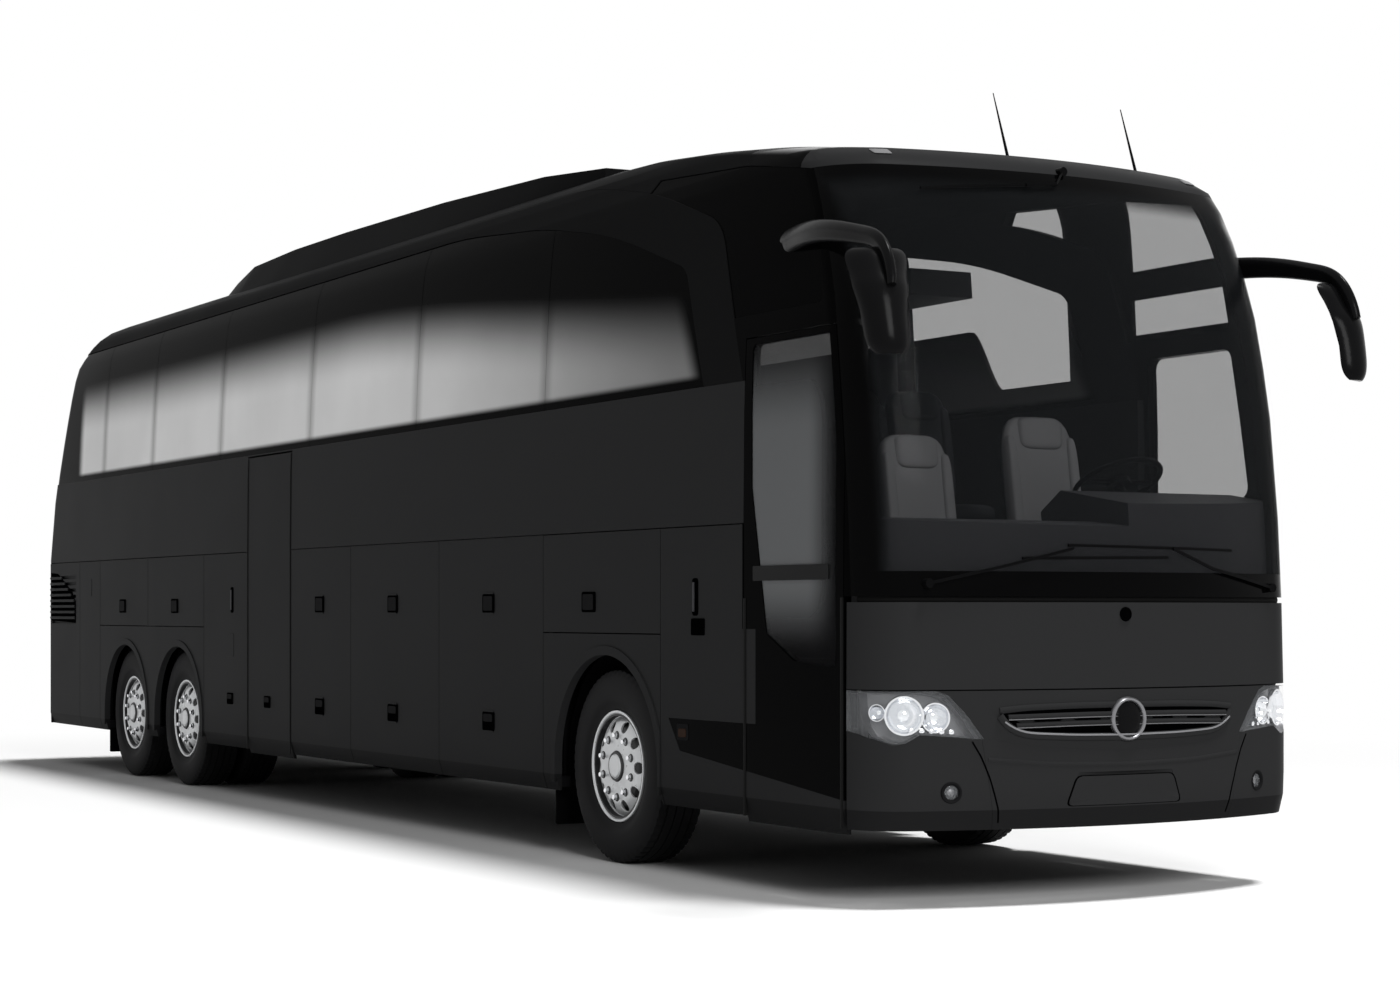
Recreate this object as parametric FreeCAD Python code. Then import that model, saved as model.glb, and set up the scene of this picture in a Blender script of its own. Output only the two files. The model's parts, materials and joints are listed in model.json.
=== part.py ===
import FreeCAD, Part
import math
import os

# A three-axle touring coach with its passenger doors on the right-hand side, in millimetres.
# +Z is up from the ground, the front faces -Y and the passenger doors are on -X.
# The origin is on the ground, midway between the mirrors' foremost point and the tail.

V = FreeCAD.Vector

# Overall sizes
FRONT_OVERHANG = 2840.0
WHEELBASE = 7250.0
TANDEM = 1350.0
REAR_OVERHANG = 2550.0
WIDTH = 2550.0
SKIRT_Z = 357.0
ROOF_Z = 3855.0
MIRROR_REACH = 112.6
HINGE_REACH = 22.0
LENGTH = FRONT_OVERHANG + WHEELBASE + TANDEM + REAR_OVERHANG
HALF = WIDTH / 2
NOSE_Y = (MIRROR_REACH - HINGE_REACH - LENGTH) / 2
TAIL_Y = NOSE_Y + LENGTH
AXLE_1_Y = NOSE_Y + FRONT_OVERHANG
AXLE_2_Y = AXLE_1_Y + WHEELBASE
AXLE_3_Y = AXLE_2_Y + TANDEM
BODY_H = ROOF_Z - SKIRT_Z

# Levels of the side seams, the glass and the floors
BAND_Z = 450.0
FLAP_TOP_Z = 1785.0
BELT_Z = 2485.0
WINDOW_TOP_Z = 3630.0
GUTTER_Z = 3720.0
SCREEN_FOOT_Z = 1425.0
SCREEN_HEAD_Z = 3455.0
DOOR_FOOT_Z = 330.0
DOOR_HEAD_Z = 2690.0
MIDDLE_DOOR_HEAD_Z = 2470.0
SALOON_FLOOR_Z = 1540.0
CAB_FLOOR_Z = 1120.0
HOLD_FLOOR_Z = 445.0

# Wall, skin and glass thicknesses, and the gaps between pieces
SKIN = 40.0
POST = 60.0
WALL = 100.0
ROOF_WALL = 60.0
GLASS = 24.0
SCREEN_GLASS = 14.0
GLASS_RECESS = 6.0
SHUT_GAP = 6.0
SEAT_GAP = 0.3
MOVE_GAP = 10.0
TUCK = 28.0
FRAME_LIFT = 18.0
POST_W = 90.0
SHEET = 6.0
PLATE = 15.0
OVERRUN = 50.0
CUBIC_METRE = 1e9
TINY = 1e-3
FULL_TURN = 360.0
NEARLY_STRAIGHT = math.radians(89.9)
SKIN_IN = HALF - SKIN
FRAME_IN = SKIN_IN - POST

# Plan of the body: bowed nose and tail with rounded corners
NOSE_BOW_R = 3240.0
TAIL_BOW_R = 9000.0
CORNER_R = 300.0
ROOF_LEAN = 800.0
WALL_IN = 820.0
NOSE_RAKE = 5000.0
TAIL_RAKE = 1850.0
# Rows of height, lean of the sides, rake of the nose, rake of the tail and corner radius
STATION_SHARES = (
    (0.0, 0.0, 0.0070, 0.005, 1.0),
    (0.0266, 0.0, 0.0010, 0.0, 1.0),
    (0.0580, 0.0, 0.0, 0.0, 1.0),
    (0.1552, 0.0, 0.0, 0.0, 1.0),
    (0.3053, 0.0, 0.0034, 0.0, 1.0),
    (0.4182, 0.0, 0.0084, 0.0, 1.0),
    (0.5612, 0.005, 0.0192, 0.070, 1.0),
    (0.6330, 0.014, 0.0277, 0.118, 1.02),
    (0.7070, 0.0275, 0.0384, 0.173, 1.04),
    (0.7650, 0.0412, 0.0512, 0.214, 1.07),
    (0.8213, 0.0575, 0.0666, 0.254, 1.10),
    (0.8642, 0.0740, 0.0812, 0.283, 1.15),
    (0.8942, 0.0910, 0.0950, 0.311, 1.23),
    (0.9142, 0.1150, 0.1180, 0.335, 1.43),
    (0.9271, 0.1375, 0.1720, 0.359, 1.53),
    (0.9425, 0.1625, 0.2380, 0.395, 1.67),
    (0.9568, 0.1940, 0.3160, 0.438, 1.83),
    (0.9714, 0.2560, 0.4140, 0.497, 2.00),
    (0.9828, 0.3625, 0.5140, 0.568, 2.17),
    (0.9914, 0.5250, 0.6400, 0.665, 2.17),
    (0.9971, 0.7500, 0.8000, 0.811, 1.67),
    (1.0, 1.0, 1.0, 1.0, 1.0),
)
CREST_SHARE = 0.8942

# Seams along the side, as shares of the wheelbase behind the front axle
SEAM_SHARES = {
    "nose_corner": -0.3310, "door_front": -0.3283, "door_rear": -0.2028, "cab_rear": -0.0855,
    "hold_front": 0.1048, "hold_1": 0.3048, "hold_2": 0.5034, "stair_front": 0.6566,
    "stair_rear": 0.7807, "drive_front": 0.9131, "between": 1.1034, "tag_rear": 1.2855,
    "tail_bay": 1.3683, "tail_corner": 1.4966,
}
PANE_SHARES = (0.1062, 0.3586, 0.6124, 0.8676, 1.0938, 1.2772)

# Wheels
TYRE_R = 522.0
TYRE_HALF_W = 147.0
RIM_R = 298.0
SEAT_R = 284.0
RIM_HALF_W = 121.0
TRACK_X = 1075.0
TWIN_PITCH = 340.0
HUB_R = 130.0
STUB_R = 60.0
HUB_FACE = 122.0
CAP_R = 78.0
CAP_REACH = 18.0
FRONT_ARCH_R = 600.0
REAR_ARCH_R = 560.0
LIP = 50.0
LIP_PROUD = 8.0
KINGPIN_X = 930.0
KINGPIN_R = 25.0


def box(x0, x1, y0, y1, z0, z1):
    """A box between two corners, given in any order along X."""
    low, high = min(x0, x1), max(x0, x1)
    return Part.makeBox(high - low, y1 - y0, z1 - z0, V(low, y0, z0))


def cylinder_x(x0, x1, radius, y, z):
    low, high = min(x0, x1), max(x0, x1)
    return Part.makeCylinder(radius, high - low, V(low, y, z), V(1, 0, 0))


def cylinder_z(x, y, z0, z1, radius):
    return Part.makeCylinder(radius, z1 - z0, V(x, y, z0), V(0, 0, 1))


def fuse(shapes):
    """One solid, or as few as may be, from shapes that overlap."""
    flat = [solid for shape in shapes for solid in shape.Solids]
    if len(flat) == 1:
        return flat[0]
    return flat[0].multiFuse(flat[1:]).removeSplitter()


def solids(shape):
    return list(shape.Solids)


def mirrored(shape):
    return shape.mirror(V(0, 0, 0), V(1, 0, 0))


def emit(node, shapes):
    """Writes one node, from a shape or a list of solids."""
    parts = shapes if isinstance(shapes, list) else [shapes]
    flat = [solid for part in parts for solid in part.Solids]
    whole = flat[0] if len(flat) == 1 else Part.makeCompound(flat)
    whole.exportStep("parts/" + node + ".step")
    volume = sum(solid.Volume for solid in flat) / CUBIC_METRE
    print(node, len(flat), round(volume, 4), all(solid.isValid() for solid in flat))


def seam(name):
    return AXLE_1_Y + WHEELBASE * SEAM_SHARES[name]


def along(share):
    """A place along the side, from its share of the wheelbase behind the front axle."""
    return AXLE_1_Y + WHEELBASE * share


def outline(points, radii, place):
    """A closed wire through 2D points, its corners rounded by tangent arcs of the given radii."""
    count = len(points)
    ends = []
    for index in range(count):
        ax, ay = points[index - 1]
        bx, by = points[index]
        cx, cy = points[(index + 1) % count]
        radius = radii[index] if isinstance(radii, (list, tuple)) else radii
        la, lc = math.hypot(ax - bx, ay - by), math.hypot(cx - bx, cy - by)
        ua, uc = ((ax - bx) / la, (ay - by) / la), ((cx - bx) / lc, (cy - by) / lc)
        cosine = max(-1.0, min(1.0, ua[0] * uc[0] + ua[1] * uc[1]))
        half = math.acos(cosine) / 2
        if radius <= 0 or half > NEARLY_STRAIGHT:
            ends.append(((bx, by), None, (bx, by)))
            continue
        trim = radius / math.tan(half)
        middle = (ua[0] + uc[0], ua[1] + uc[1])
        length = math.hypot(*middle)
        reach = radius / math.sin(half) - radius
        ends.append(((bx + ua[0] * trim, by + ua[1] * trim),
                     (bx + middle[0] / length * reach, by + middle[1] / length * reach),
                     (bx + uc[0] * trim, by + uc[1] * trim)))
    edges = []
    for index in range(count):
        start, mid, end = ends[index]
        if mid:
            edges.append(Part.Arc(place(*start), place(*mid), place(*end)).toShape())
        following = ends[(index + 1) % count][0]
        if math.hypot(following[0] - end[0], following[1] - end[1]) > TINY:
            edges.append(Part.LineSegment(place(*end), place(*following)).toShape())
    return Part.Wire(edges)


def side_prism(sign, points, radii=0):
    """A YZ outline carried out through one side wall."""
    face = Part.Face(outline(points, radii, lambda y, z: V(0, y, z)))
    solid = face.extrude(V(sign * (HALF + OVERRUN), 0, 0))
    return solid.cut(box(0, sign * WALL_IN, solid.BoundBox.YMin, solid.BoundBox.YMax, SKIRT_Z,
                         ROOF_Z + OVERRUN))


def front_prism(points, radii, y0, y1):
    """An XZ outline carried from y0 to y1."""
    face = Part.Face(outline(points, radii, lambda x, z: V(x, y0, z)))
    return face.extrude(V(0, y1 - y0, 0))


def cross_prism(points, radii, x0, x1):
    """A YZ outline carried from x0 to x1."""
    face = Part.Face(outline(points, radii, lambda y, z: V(x0, y, z)))
    return face.extrude(V(x1 - x0, 0, 0))


def station(row, wall):
    """The body's plan at one height, drawn in by a wall."""
    height, lean, nose, tail, corner = row
    crest = max(0.0, (height - CREST_SHARE) / (1 - CREST_SHARE))
    z = SKIRT_Z + BODY_H * height - wall * crest
    half = HALF - ROOF_LEAN * lean - wall
    nose_y, tail_y = NOSE_Y + NOSE_RAKE * nose + wall, TAIL_Y - TAIL_RAKE * tail - wall
    radius = CORNER_R * corner - wall

    def corner_arc(end_y, bow, sign):
        centre_x = half - radius
        centre_y = end_y + sign * (bow - math.sqrt((bow - radius) ** 2 - centre_x ** 2))
        bow_y = end_y + sign * bow
        share = bow / (bow - radius)
        touch = (centre_x * share, bow_y + (centre_y - bow_y) * share)
        angle = math.atan2(touch[1] - centre_y, touch[0] - centre_x) / 2
        return centre_y, touch, (centre_x + radius * math.cos(angle), centre_y + radius * math.sin(angle))

    front_y, ft, fm = corner_arc(nose_y, NOSE_BOW_R - wall, 1)
    rear_y, rt, rm = corner_arc(tail_y, TAIL_BOW_R - wall, -1)
    runs = [
        Part.Arc(V(-ft[0], ft[1], z), V(0, nose_y, z), V(ft[0], ft[1], z)),
        Part.Arc(V(ft[0], ft[1], z), V(fm[0], fm[1], z), V(half, front_y, z)),
        Part.LineSegment(V(half, front_y, z), V(half, rear_y, z)),
        Part.Arc(V(half, rear_y, z), V(rm[0], rm[1], z), V(rt[0], rt[1], z)),
        Part.Arc(V(rt[0], rt[1], z), V(0, tail_y, z), V(-rt[0], rt[1], z)),
        Part.Arc(V(-rt[0], rt[1], z), V(-rm[0], rm[1], z), V(-half, rear_y, z)),
        Part.LineSegment(V(-half, rear_y, z), V(-half, front_y, z)),
        Part.Arc(V(-half, front_y, z), V(-fm[0], fm[1], z), V(-ft[0], ft[1], z)),
    ]
    return Part.Wire([run.toShape() for run in runs])


SCREEN_FOOT_ROW = 4
FORMS = {}


def form(wall, upper):
    """The closed body form drawn in by a wall, above or below the windscreen's foot."""
    key = (wall, upper)
    if key not in FORMS:
        foot = STATION_SHARES[SCREEN_FOOT_ROW]
        rows = [row for row in STATION_SHARES if (row[0] >= foot[0] if upper else row[0] <= foot[0])]
        FORMS[key] = Part.makeLoft([station(row, wall) for row in rows], True, True)
    return FORMS[key]


def ring(outer, inner, upper):
    """The wall between two depths, open at its ends."""
    key = (outer, inner, upper)
    if key not in FORMS:
        FORMS[key] = form(outer, upper).cut(form(inner, upper))
    return FORMS[key]


def nose_rake_at(z):
    """How far the nose is set back at a height."""
    share = (z - SKIRT_Z) / BODY_H
    for low, high in zip(STATION_SHARES, STATION_SHARES[1:]):
        if share <= high[0]:
            part = (share - low[0]) / (high[0] - low[0])
            return NOSE_RAKE * (low[2] + part * (high[2] - low[2]))
    return NOSE_RAKE


def nose_at(x, z):
    """The outer surface's Y on the bowed nose."""
    return NOSE_Y + nose_rake_at(z) + NOSE_BOW_R - math.sqrt(NOSE_BOW_R ** 2 - x ** 2)


# Outlines on the side wall, in shares of the wheelbase and of the glass height above the belt
GLASS_H = WINDOW_TOP_Z - BELT_Z
WINDOW_OUTLINE_SHARES = (
    (-0.1462, 0.0, 0.0), (-0.1145, 0.545, 0.14), (0.0014, 0.783, 4.0), (0.1241, 0.915, 5.5),
    (0.2897, 1.0, 6.0), (1.4483, 0.974, 0.08), (1.4966, 0.0, 0.0),
)
COVE_OUTLINE_SHARES = (
    (-0.2000, 0.0, 0.0), (-0.1614, 0.714, 0.24), (-0.0621, 0.926, 3.5), (0.0483, 1.052, 4.0),
)
TAIL_HEAD_SHARE = WINDOW_OUTLINE_SHARES[-2][0]
TAIL_FOOT_SHARE = WINDOW_OUTLINE_SHARES[-1][0]
QUARTER_OUTLINE_SHARES = (
    (-0.2993, 0.275, 0.03), (-0.2841, 0.834, 0.08), (-0.1862, 0.939, 1.0), (-0.0552, 0.995, 0.02),
    (-0.0345, 0.88, 0.0), (-0.1750, 0.275, 0.0),
)


def glass_points(shares):
    points = [(along(y), BELT_Z + GLASS_H * z) for y, z, radius in shares]
    return points, [GLASS_H * radius for y, z, radius in shares]


def window_prism(sign):
    points, radii = glass_points(WINDOW_OUTLINE_SHARES)
    return side_prism(sign, points, radii)


def cove_prism(sign):
    """The arch over the windows and the strip behind it, before the glass is taken out."""
    points, radii = glass_points(COVE_OUTLINE_SHARES)
    tail = along(TAIL_HEAD_SHARE)
    foot = along(TAIL_FOOT_SHARE)
    points += [(along(PANE_SHARES[0]), GUTTER_Z), (tail, GUTTER_Z), (tail, BELT_Z + GLASS_H),
               (foot, BELT_Z)]
    radii += [GLASS_H * COVE_OUTLINE_SHARES[-1][2], 0, 0, 0]
    return side_prism(sign, points, radii)


def quarter_prism(sign):
    points, radii = glass_points(QUARTER_OUTLINE_SHARES)
    return side_prism(sign, points, radii).cut([cove_prism(sign), screen_prism(PILLAR)])


def quarters_and_coves():
    """The arch panels on both sides and the glass of the seven panes behind them."""
    coves, panes = [], []
    for sign in (-1, 1):
        window = window_prism(sign)
        coves += solids(ring(0, ROOF_WALL, True).common(cove_prism(sign).cut(window)))
        glazed = ring(GLASS_RECESS, GLASS_RECESS + GLASS, True).common(window)
        for share in PANE_SHARES:
            y = along(share)
            glazed = glazed.cut(box(0, sign * (HALF + OVERRUN), y - SHUT_GAP / 2, y + SHUT_GAP / 2, BELT_Z,
                                    ROOF_Z))
        panes += solids(glazed)
    emit("cove_panels", coves)
    emit("side_glass", panes + cab_glass())


# Windscreen, its surround and the glass beside the driver
SCREEN_WRAP = 395.0
MASK_SHARE = -0.1862
MASK_FOOT_Z = 3300.0
DRIVER_GLASS_SHARES = ((-0.3172, -0.484), (-0.2993, 0.188), (-0.2083, 0.188), (-0.2083, -0.484))
DRIVER_GLASS_R = 60.0
PILLAR = 55.0


def screen_prism(beyond=0):
    """What lies ahead of a line that follows the nose's profile on both sides."""
    levels = [SKIRT_Z + BODY_H * row[0] for row in STATION_SHARES[SCREEN_FOOT_ROW:]]
    heights = [z for z in levels if z < SCREEN_HEAD_Z] + [SCREEN_HEAD_Z]
    rear = [(NOSE_Y + nose_rake_at(z) + SCREEN_WRAP + beyond, z) for z in heights]
    points = [(NOSE_Y - OVERRUN, SCREEN_FOOT_Z)] + rear + [(NOSE_Y - OVERRUN, SCREEN_HEAD_Z)]
    return cross_prism(points, 0, -HALF - OVERRUN, HALF + OVERRUN)


def windscreen():
    return ring(0, SCREEN_GLASS, True).common(screen_prism())


def driver_prism():
    points = [(along(y), BELT_Z + GLASS_H * z) for y, z in DRIVER_GLASS_SHARES]
    return side_prism(1, points, DRIVER_GLASS_R)


def door_prism(sign, first, last, foot, head, gap):
    return box(0, sign * (HALF + OVERRUN), seam(first) + gap, seam(last) - gap, foot + gap, head - gap)


def mask():
    """Windscreen surround: header, corner pillars and the bars over the door and driver's glass."""
    ahead = box(-HALF - OVERRUN, HALF + OVERRUN, NOSE_Y - OVERRUN, along(MASK_SHARE), SCREEN_FOOT_Z,
                ROOF_Z + OVERRUN)
    below = box(-HALF - OVERRUN, HALF + OVERRUN, NOSE_Y - OVERRUN, AXLE_1_Y, SCREEN_FOOT_Z, MASK_FOOT_Z)
    whole = ring(0, ROOF_WALL, True).common(ahead.fuse(below))
    door = door_prism(-1, "door_front", "door_rear", SKIRT_Z, DOOR_HEAD_Z, 0)
    belt = [box(s * FRAME_IN / 2, s * (HALF + OVERRUN), seam("door_rear"), TAIL_Y, SCREEN_FOOT_Z, BELT_Z)
            for s in (-1, 1)]
    cab_side = box(FRAME_IN / 2, HALF + OVERRUN, seam("door_front"), seam("door_rear"), SCREEN_FOOT_Z,
                   FLAP_TOP_Z + SHUT_GAP / 2)
    cuts = [screen_prism(), door, cab_side, driver_prism()] + belt
    for sign in (-1, 1):
        cuts += [quarter_prism(sign), cove_prism(sign)]
    return whole.cut(cuts)


def cab_glass():
    panes = []
    for sign in (-1, 1):
        panes += solids(ring(GLASS_RECESS, GLASS_RECESS + GLASS, True).common(quarter_prism(sign)))
    panes += solids(ring(GLASS_RECESS, GLASS_RECESS + GLASS, True).common(driver_prism()))
    return panes


def roof():
    """Roof skin from the mask's seam to the tail, down to the gutter line."""
    top = box(-HALF - OVERRUN, HALF + OVERRUN, along(MASK_SHARE), TAIL_Y + OVERRUN, MASK_FOOT_Z,
              ROOF_Z + OVERRUN)
    whole = ring(0, ROOF_WALL, True).common(top)
    cuts = [rear_prism()]
    for sign in (-1, 1):
        cuts += [quarter_prism(sign), cove_prism(sign)]
    return whole.cut(cuts)


def rear_prism():
    """What lies behind the last side pane, below the gutter line."""
    top_y, foot_y = along(TAIL_HEAD_SHARE), along(TAIL_FOOT_SHARE)
    points = [(foot_y, SKIRT_Z - OVERRUN), (foot_y, BELT_Z), (top_y, BELT_Z + GLASS_H), (top_y, GUTTER_Z),
              (TAIL_Y + OVERRUN, GUTTER_Z), (TAIL_Y + OVERRUN, SKIRT_Z - OVERRUN)]
    return cross_prism(points, 0, -HALF - OVERRUN, HALF + OVERRUN)


# Air conditioning fairing, rows of place along the wheelbase, foot and crest half widths and height
FAIRING_HALF = 1100.0
FAIRING_H = 290.0
FAIRING_SHARES = (
    (0.092, 0.86, 0.84, 0.55), (0.199, 0.93, 0.85, 0.76), (0.400, 0.99, 0.85, 0.92), (0.634, 1.0, 0.845, 1.0),
    (0.772, 1.0, 0.845, 1.0), (0.897, 0.99, 0.83, 0.93), (0.966, 0.96, 0.79, 0.69), (1.014, 0.91, 0.68, 0.42),
)
FAIRING_CROWN = 12.0


def fairing():
    wires = []
    for place, foot, crest, height in FAIRING_SHARES:
        y, low = along(place), GUTTER_Z - OVERRUN
        top = GUTTER_Z + FAIRING_H * height - FAIRING_CROWN
        points = [(-FAIRING_HALF * foot, low), (-FAIRING_HALF * crest, top), (0, top + FAIRING_CROWN),
                  (FAIRING_HALF * crest, top), (FAIRING_HALF * foot, low)]
        wires.append(Part.makePolygon([V(x, y, z) for x, z in points] + [V(points[0][0], y, points[0][1])]))
    return Part.makeLoft(wires, True, True).cut(form(0, True))


# Lower nose: hinged service panel, lamps, grille panel and three-piece bumper
NOSE_SKIN = 34.0
FLAP_FOOT_Z = 1000.0
FLAP_TOP_GAP = 27.0
LAMP_W = 545.0
LAMP_H = 245.0
LAMP_SHARES = ((1.02, 1.0), (0.40, 1.0), (0.30, 0.92), (0.14, 0.53), (0.0, 0.104), (0.08, 0.104),
               (0.54, 0.19),
               (0.65, 0.04), (0.74, 0.0), (0.88, 0.13), (1.02, 0.36))
LAMP_IN_X = 755.0
BUMPER_JOINT_TOP_X = 800.0
BUMPER_JOINT_X = 687.0
GRILLE_FOOT = 42.0
CREASE_SHARE = 0.62
CREASE_DROP = 67.0
SLOT_IN_X = 112.0
SLOT_OUT_X = 670.0
SLOT_STEP = 55.0
SLOT_TOP_Z = 905.0
SLOT_FOOT_Z = 805.0
SLOT_BAR = 12.0
BADGE_R = 92.0
BADGE_PROUD = 6.0
FOG_X = 907.0
FOG_Z = 532.0
FOG_R = 48.0
PLATE_HALF = 275.0
PLATE_FOOT_HALF = 330.0
PLATE_FOOT_Z = 465.0
PLATE_TOP_Z = 612.0
PLATE_DEPTH = 14.0


def lamp_points():
    foot = FLAP_FOOT_Z - SHUT_GAP - LAMP_H
    return [(LAMP_IN_X + LAMP_W * x, foot + LAMP_H * z) for x, z in LAMP_SHARES]


def front_skin():
    """Lower nose wall ahead of the doors."""
    ahead = box(-HALF - OVERRUN, HALF + OVERRUN, NOSE_Y - OVERRUN, seam("nose_corner"), SKIRT_Z - OVERRUN,
                SCREEN_FOOT_Z)
    return ring(0, NOSE_SKIN, False).common(ahead)


def flap_ears():
    """Pairs of ears on the service panel's inner face, either side of each link's foot pin."""
    ears = []
    y = NOSE_Y + LINK_BACK
    for side in (-1, 1):
        for x in (LINK_X - LINK_W, LINK_X + LINK_W - LINK_EAR_W):
            ear = box(side * x, side * (x + LINK_EAR_W), NOSE_Y, y + LINK_W, LINK_FOOT_Z - LINK_W,
                      LINK_FOOT_Z + LINK_W)
            ear = ear.common(form(NOSE_SKIN / 2, False))
            ears.append(ear.cut(cylinder_x(-HALF, HALF, LINK_PIN_R + PIN_GAP, y, LINK_FOOT_Z)))
    return ears


def front_slice(foot, head):
    """The whole width of the nose between two heights."""
    wide = HALF + OVERRUN
    return box(-wide, wide, NOSE_Y - OVERRUN, seam("nose_corner") + OVERRUN, foot, head)


def through_nose(points, radii=0):
    return front_prism(points, radii, NOSE_Y - OVERRUN, seam("nose_corner") + OVERRUN)


def service_panel(skin):
    return fuse([skin.common(front_slice(FLAP_FOOT_Z, SCREEN_FOOT_Z - FLAP_TOP_GAP))] + flap_ears())


def grille_prism():
    """What lies between the lamps, down to the crease above the bumper."""
    lamp = lamp_points()
    top, side_foot = lamp[0][1], lamp[4]
    right = [lamp[2], lamp[3], side_foot, (side_foot[0] * CREASE_SHARE, side_foot[1] - GRILLE_FOOT),
             (0, side_foot[1] - CREASE_DROP)]
    left = [(-x, z) for x, z in right[:-1]][::-1]
    return through_nose([(lamp[1][0], top)] + right + left + [(-lamp[1][0], top)])


def grille_panel(skin):
    """The panel with two slots a side and the bare round plate between them."""
    panel = skin.common(grille_prism())
    middle = (SLOT_TOP_Z + SLOT_FOOT_Z) / 2
    rows = ((SLOT_FOOT_Z, middle - SLOT_BAR, SLOT_OUT_X - SLOT_STEP),
            (middle + SLOT_BAR, SLOT_TOP_Z, SLOT_OUT_X))
    for s in (-1, 1):
        for foot, head, end in rows:
            slot = [(SLOT_IN_X, head), (end, head), (end - SLOT_STEP, foot), (SLOT_IN_X, foot)]
            panel = panel.cut(through_nose([(s * x, z) for x, z in slot], SLOT_BAR))
    depth = NOSE_SKIN / 2 + BADGE_PROUD
    return fuse([panel, Part.makeCylinder(BADGE_R, depth, V(0, NOSE_Y - BADGE_PROUD, middle), V(0, 1, 0))])


def bumper_parts(rest):
    """The centre with its plate recess, and the corners with a hole for each fog lamp."""
    top = FLAP_FOOT_Z - SHUT_GAP
    joint = through_nose([(-BUMPER_JOINT_X, SKIRT_Z - OVERRUN), (-BUMPER_JOINT_TOP_X, top),
                          (BUMPER_JOINT_TOP_X, top),
                          (BUMPER_JOINT_X, SKIRT_Z - OVERRUN)])
    plate = [(-PLATE_FOOT_HALF, PLATE_FOOT_Z), (-PLATE_HALF, PLATE_TOP_Z), (PLATE_HALF, PLATE_TOP_Z),
             (PLATE_FOOT_HALF, PLATE_FOOT_Z)]
    recess = front_prism(plate, SLOT_BAR, NOSE_Y - OVERRUN, NOSE_Y + PLATE_DEPTH)
    return rest.common(joint).cut(recess), rest.cut([joint] + [fog_hole(s) for s in (-1, 1)])


def fog_hole(s):
    return Part.makeCylinder(FOG_R, FRONT_OVERHANG, V(s * FOG_X, NOSE_Y - OVERRUN, FOG_Z), V(0, 1, 0)).common(
        front_slice(SKIRT_Z, FOG_Z + BAND_Z))


def lower_nose():
    skin = front_skin()
    lamps = [through_nose([(s * x, z) for x, z in lamp_points()]) for s in (-1, 1)]
    fogs = [skin.common(fog_hole(s)).common(ring(SLOT_BAR, NOSE_SKIN, False)) for s in (-1, 1)]
    low = skin.common(front_slice(SKIRT_Z - OVERRUN, FLAP_FOOT_Z - SHUT_GAP))
    centre, corners = bumper_parts(low.cut(lamps + [grille_prism()]))
    emit("front_flap", service_panel(skin))
    emit("front_lamps", [skin.common(lamp) for lamp in lamps] + fogs)
    emit("grille_panel", grille_panel(skin))
    emit("bumper_centre", centre)
    emit("bumper_corners", corners)


# Links of the front service panel
LINK_X = 620.0
LINK_L = 290.0
LINK_W = 30.0
LINK_BACK = 150.0
LINK_FOOT_Z = 1045.0
LINK_PIN_R = 9.0
LINK_EAR_W = 10.0
SHAFT_BEYOND = 75.0
BULKHEAD_EAR_X = LINK_X + 45.0


def flap_links():
    """A cross shaft with two arms that carry the front service panel."""
    y = NOSE_Y + LINK_BACK
    top = LINK_FOOT_Z + LINK_L
    reach = LINK_X + SHAFT_BEYOND
    shaft = cylinder_x(-reach, reach, LINK_PIN_R * 2, y, top)
    arms = [box(s * (LINK_X - LINK_W / 2), s * (LINK_X + LINK_W / 2), y - LINK_W / 2, y + LINK_W / 2,
                LINK_FOOT_Z, top)
            for s in (-1, 1)]
    feet = [cylinder_x(s * (LINK_X - LINK_W), s * (LINK_X + LINK_W), LINK_PIN_R, y, LINK_FOOT_Z)
            for s in (-1, 1)]
    return fuse([shaft] + arms + feet)


# Skins below the belt
LATCH = 64.0
SERVICE_FOOT_Z = 1238.0
LOUVRE_FOOT_Z = 1250.0
LOUVRE_TOP_Z = 1695.0
LOUVRES = 8
LOUVRE_SHARE = 1.385
FLAP_BAYS = (("hold_front", "hold_1"), ("hold_1", "hold_2"), ("hold_2", "stair_front"))


def slab(sign, y0, y1, z0, z1, depth=SKIN):
    """A flat side skin, tucked in along the skirt band where it reaches down to it."""
    inner = HALF - depth
    points = [(inner, z0), (HALF, z0), (HALF, z1), (inner, z1)]
    if z0 < BAND_Z:
        points = [(inner, z0), (HALF - TUCK, z0), (HALF, BAND_Z), (HALF, z1), (inner, z1)]
    face = Part.Face(Part.makePolygon([V(sign * x, y0, z) for x, z in points + points[:1]]))
    return face.extrude(V(0, y1 - y0, 0))


def bay_slab(sign, first, last, foot, head, depth=SKIN):
    return slab(sign, seam(first) + SHUT_GAP / 2, seam(last) - SHUT_GAP / 2, foot, head, depth)


def arch_cut(sign, axle_y, radius):
    """The wheel opening: a round top on straight sides."""
    drum = cylinder_x(0, sign * (HALF + OVERRUN), radius, axle_y, TYRE_R)
    return drum.fuse(box(0, sign * (HALF + OVERRUN), axle_y - radius, axle_y + radius, 0, TYRE_R))


def arch_lip(sign, axle_y, radius):
    outer = arch_cut(sign, axle_y, radius + LIP).cut(arch_cut(sign, axle_y, radius))
    return outer.common(box(sign * (HALF - SHEET), sign * (HALF + LIP_PROUD), axle_y - radius * 2,
                            axle_y + radius * 2,
                            SKIRT_Z + LIP, ROOF_Z))


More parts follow.
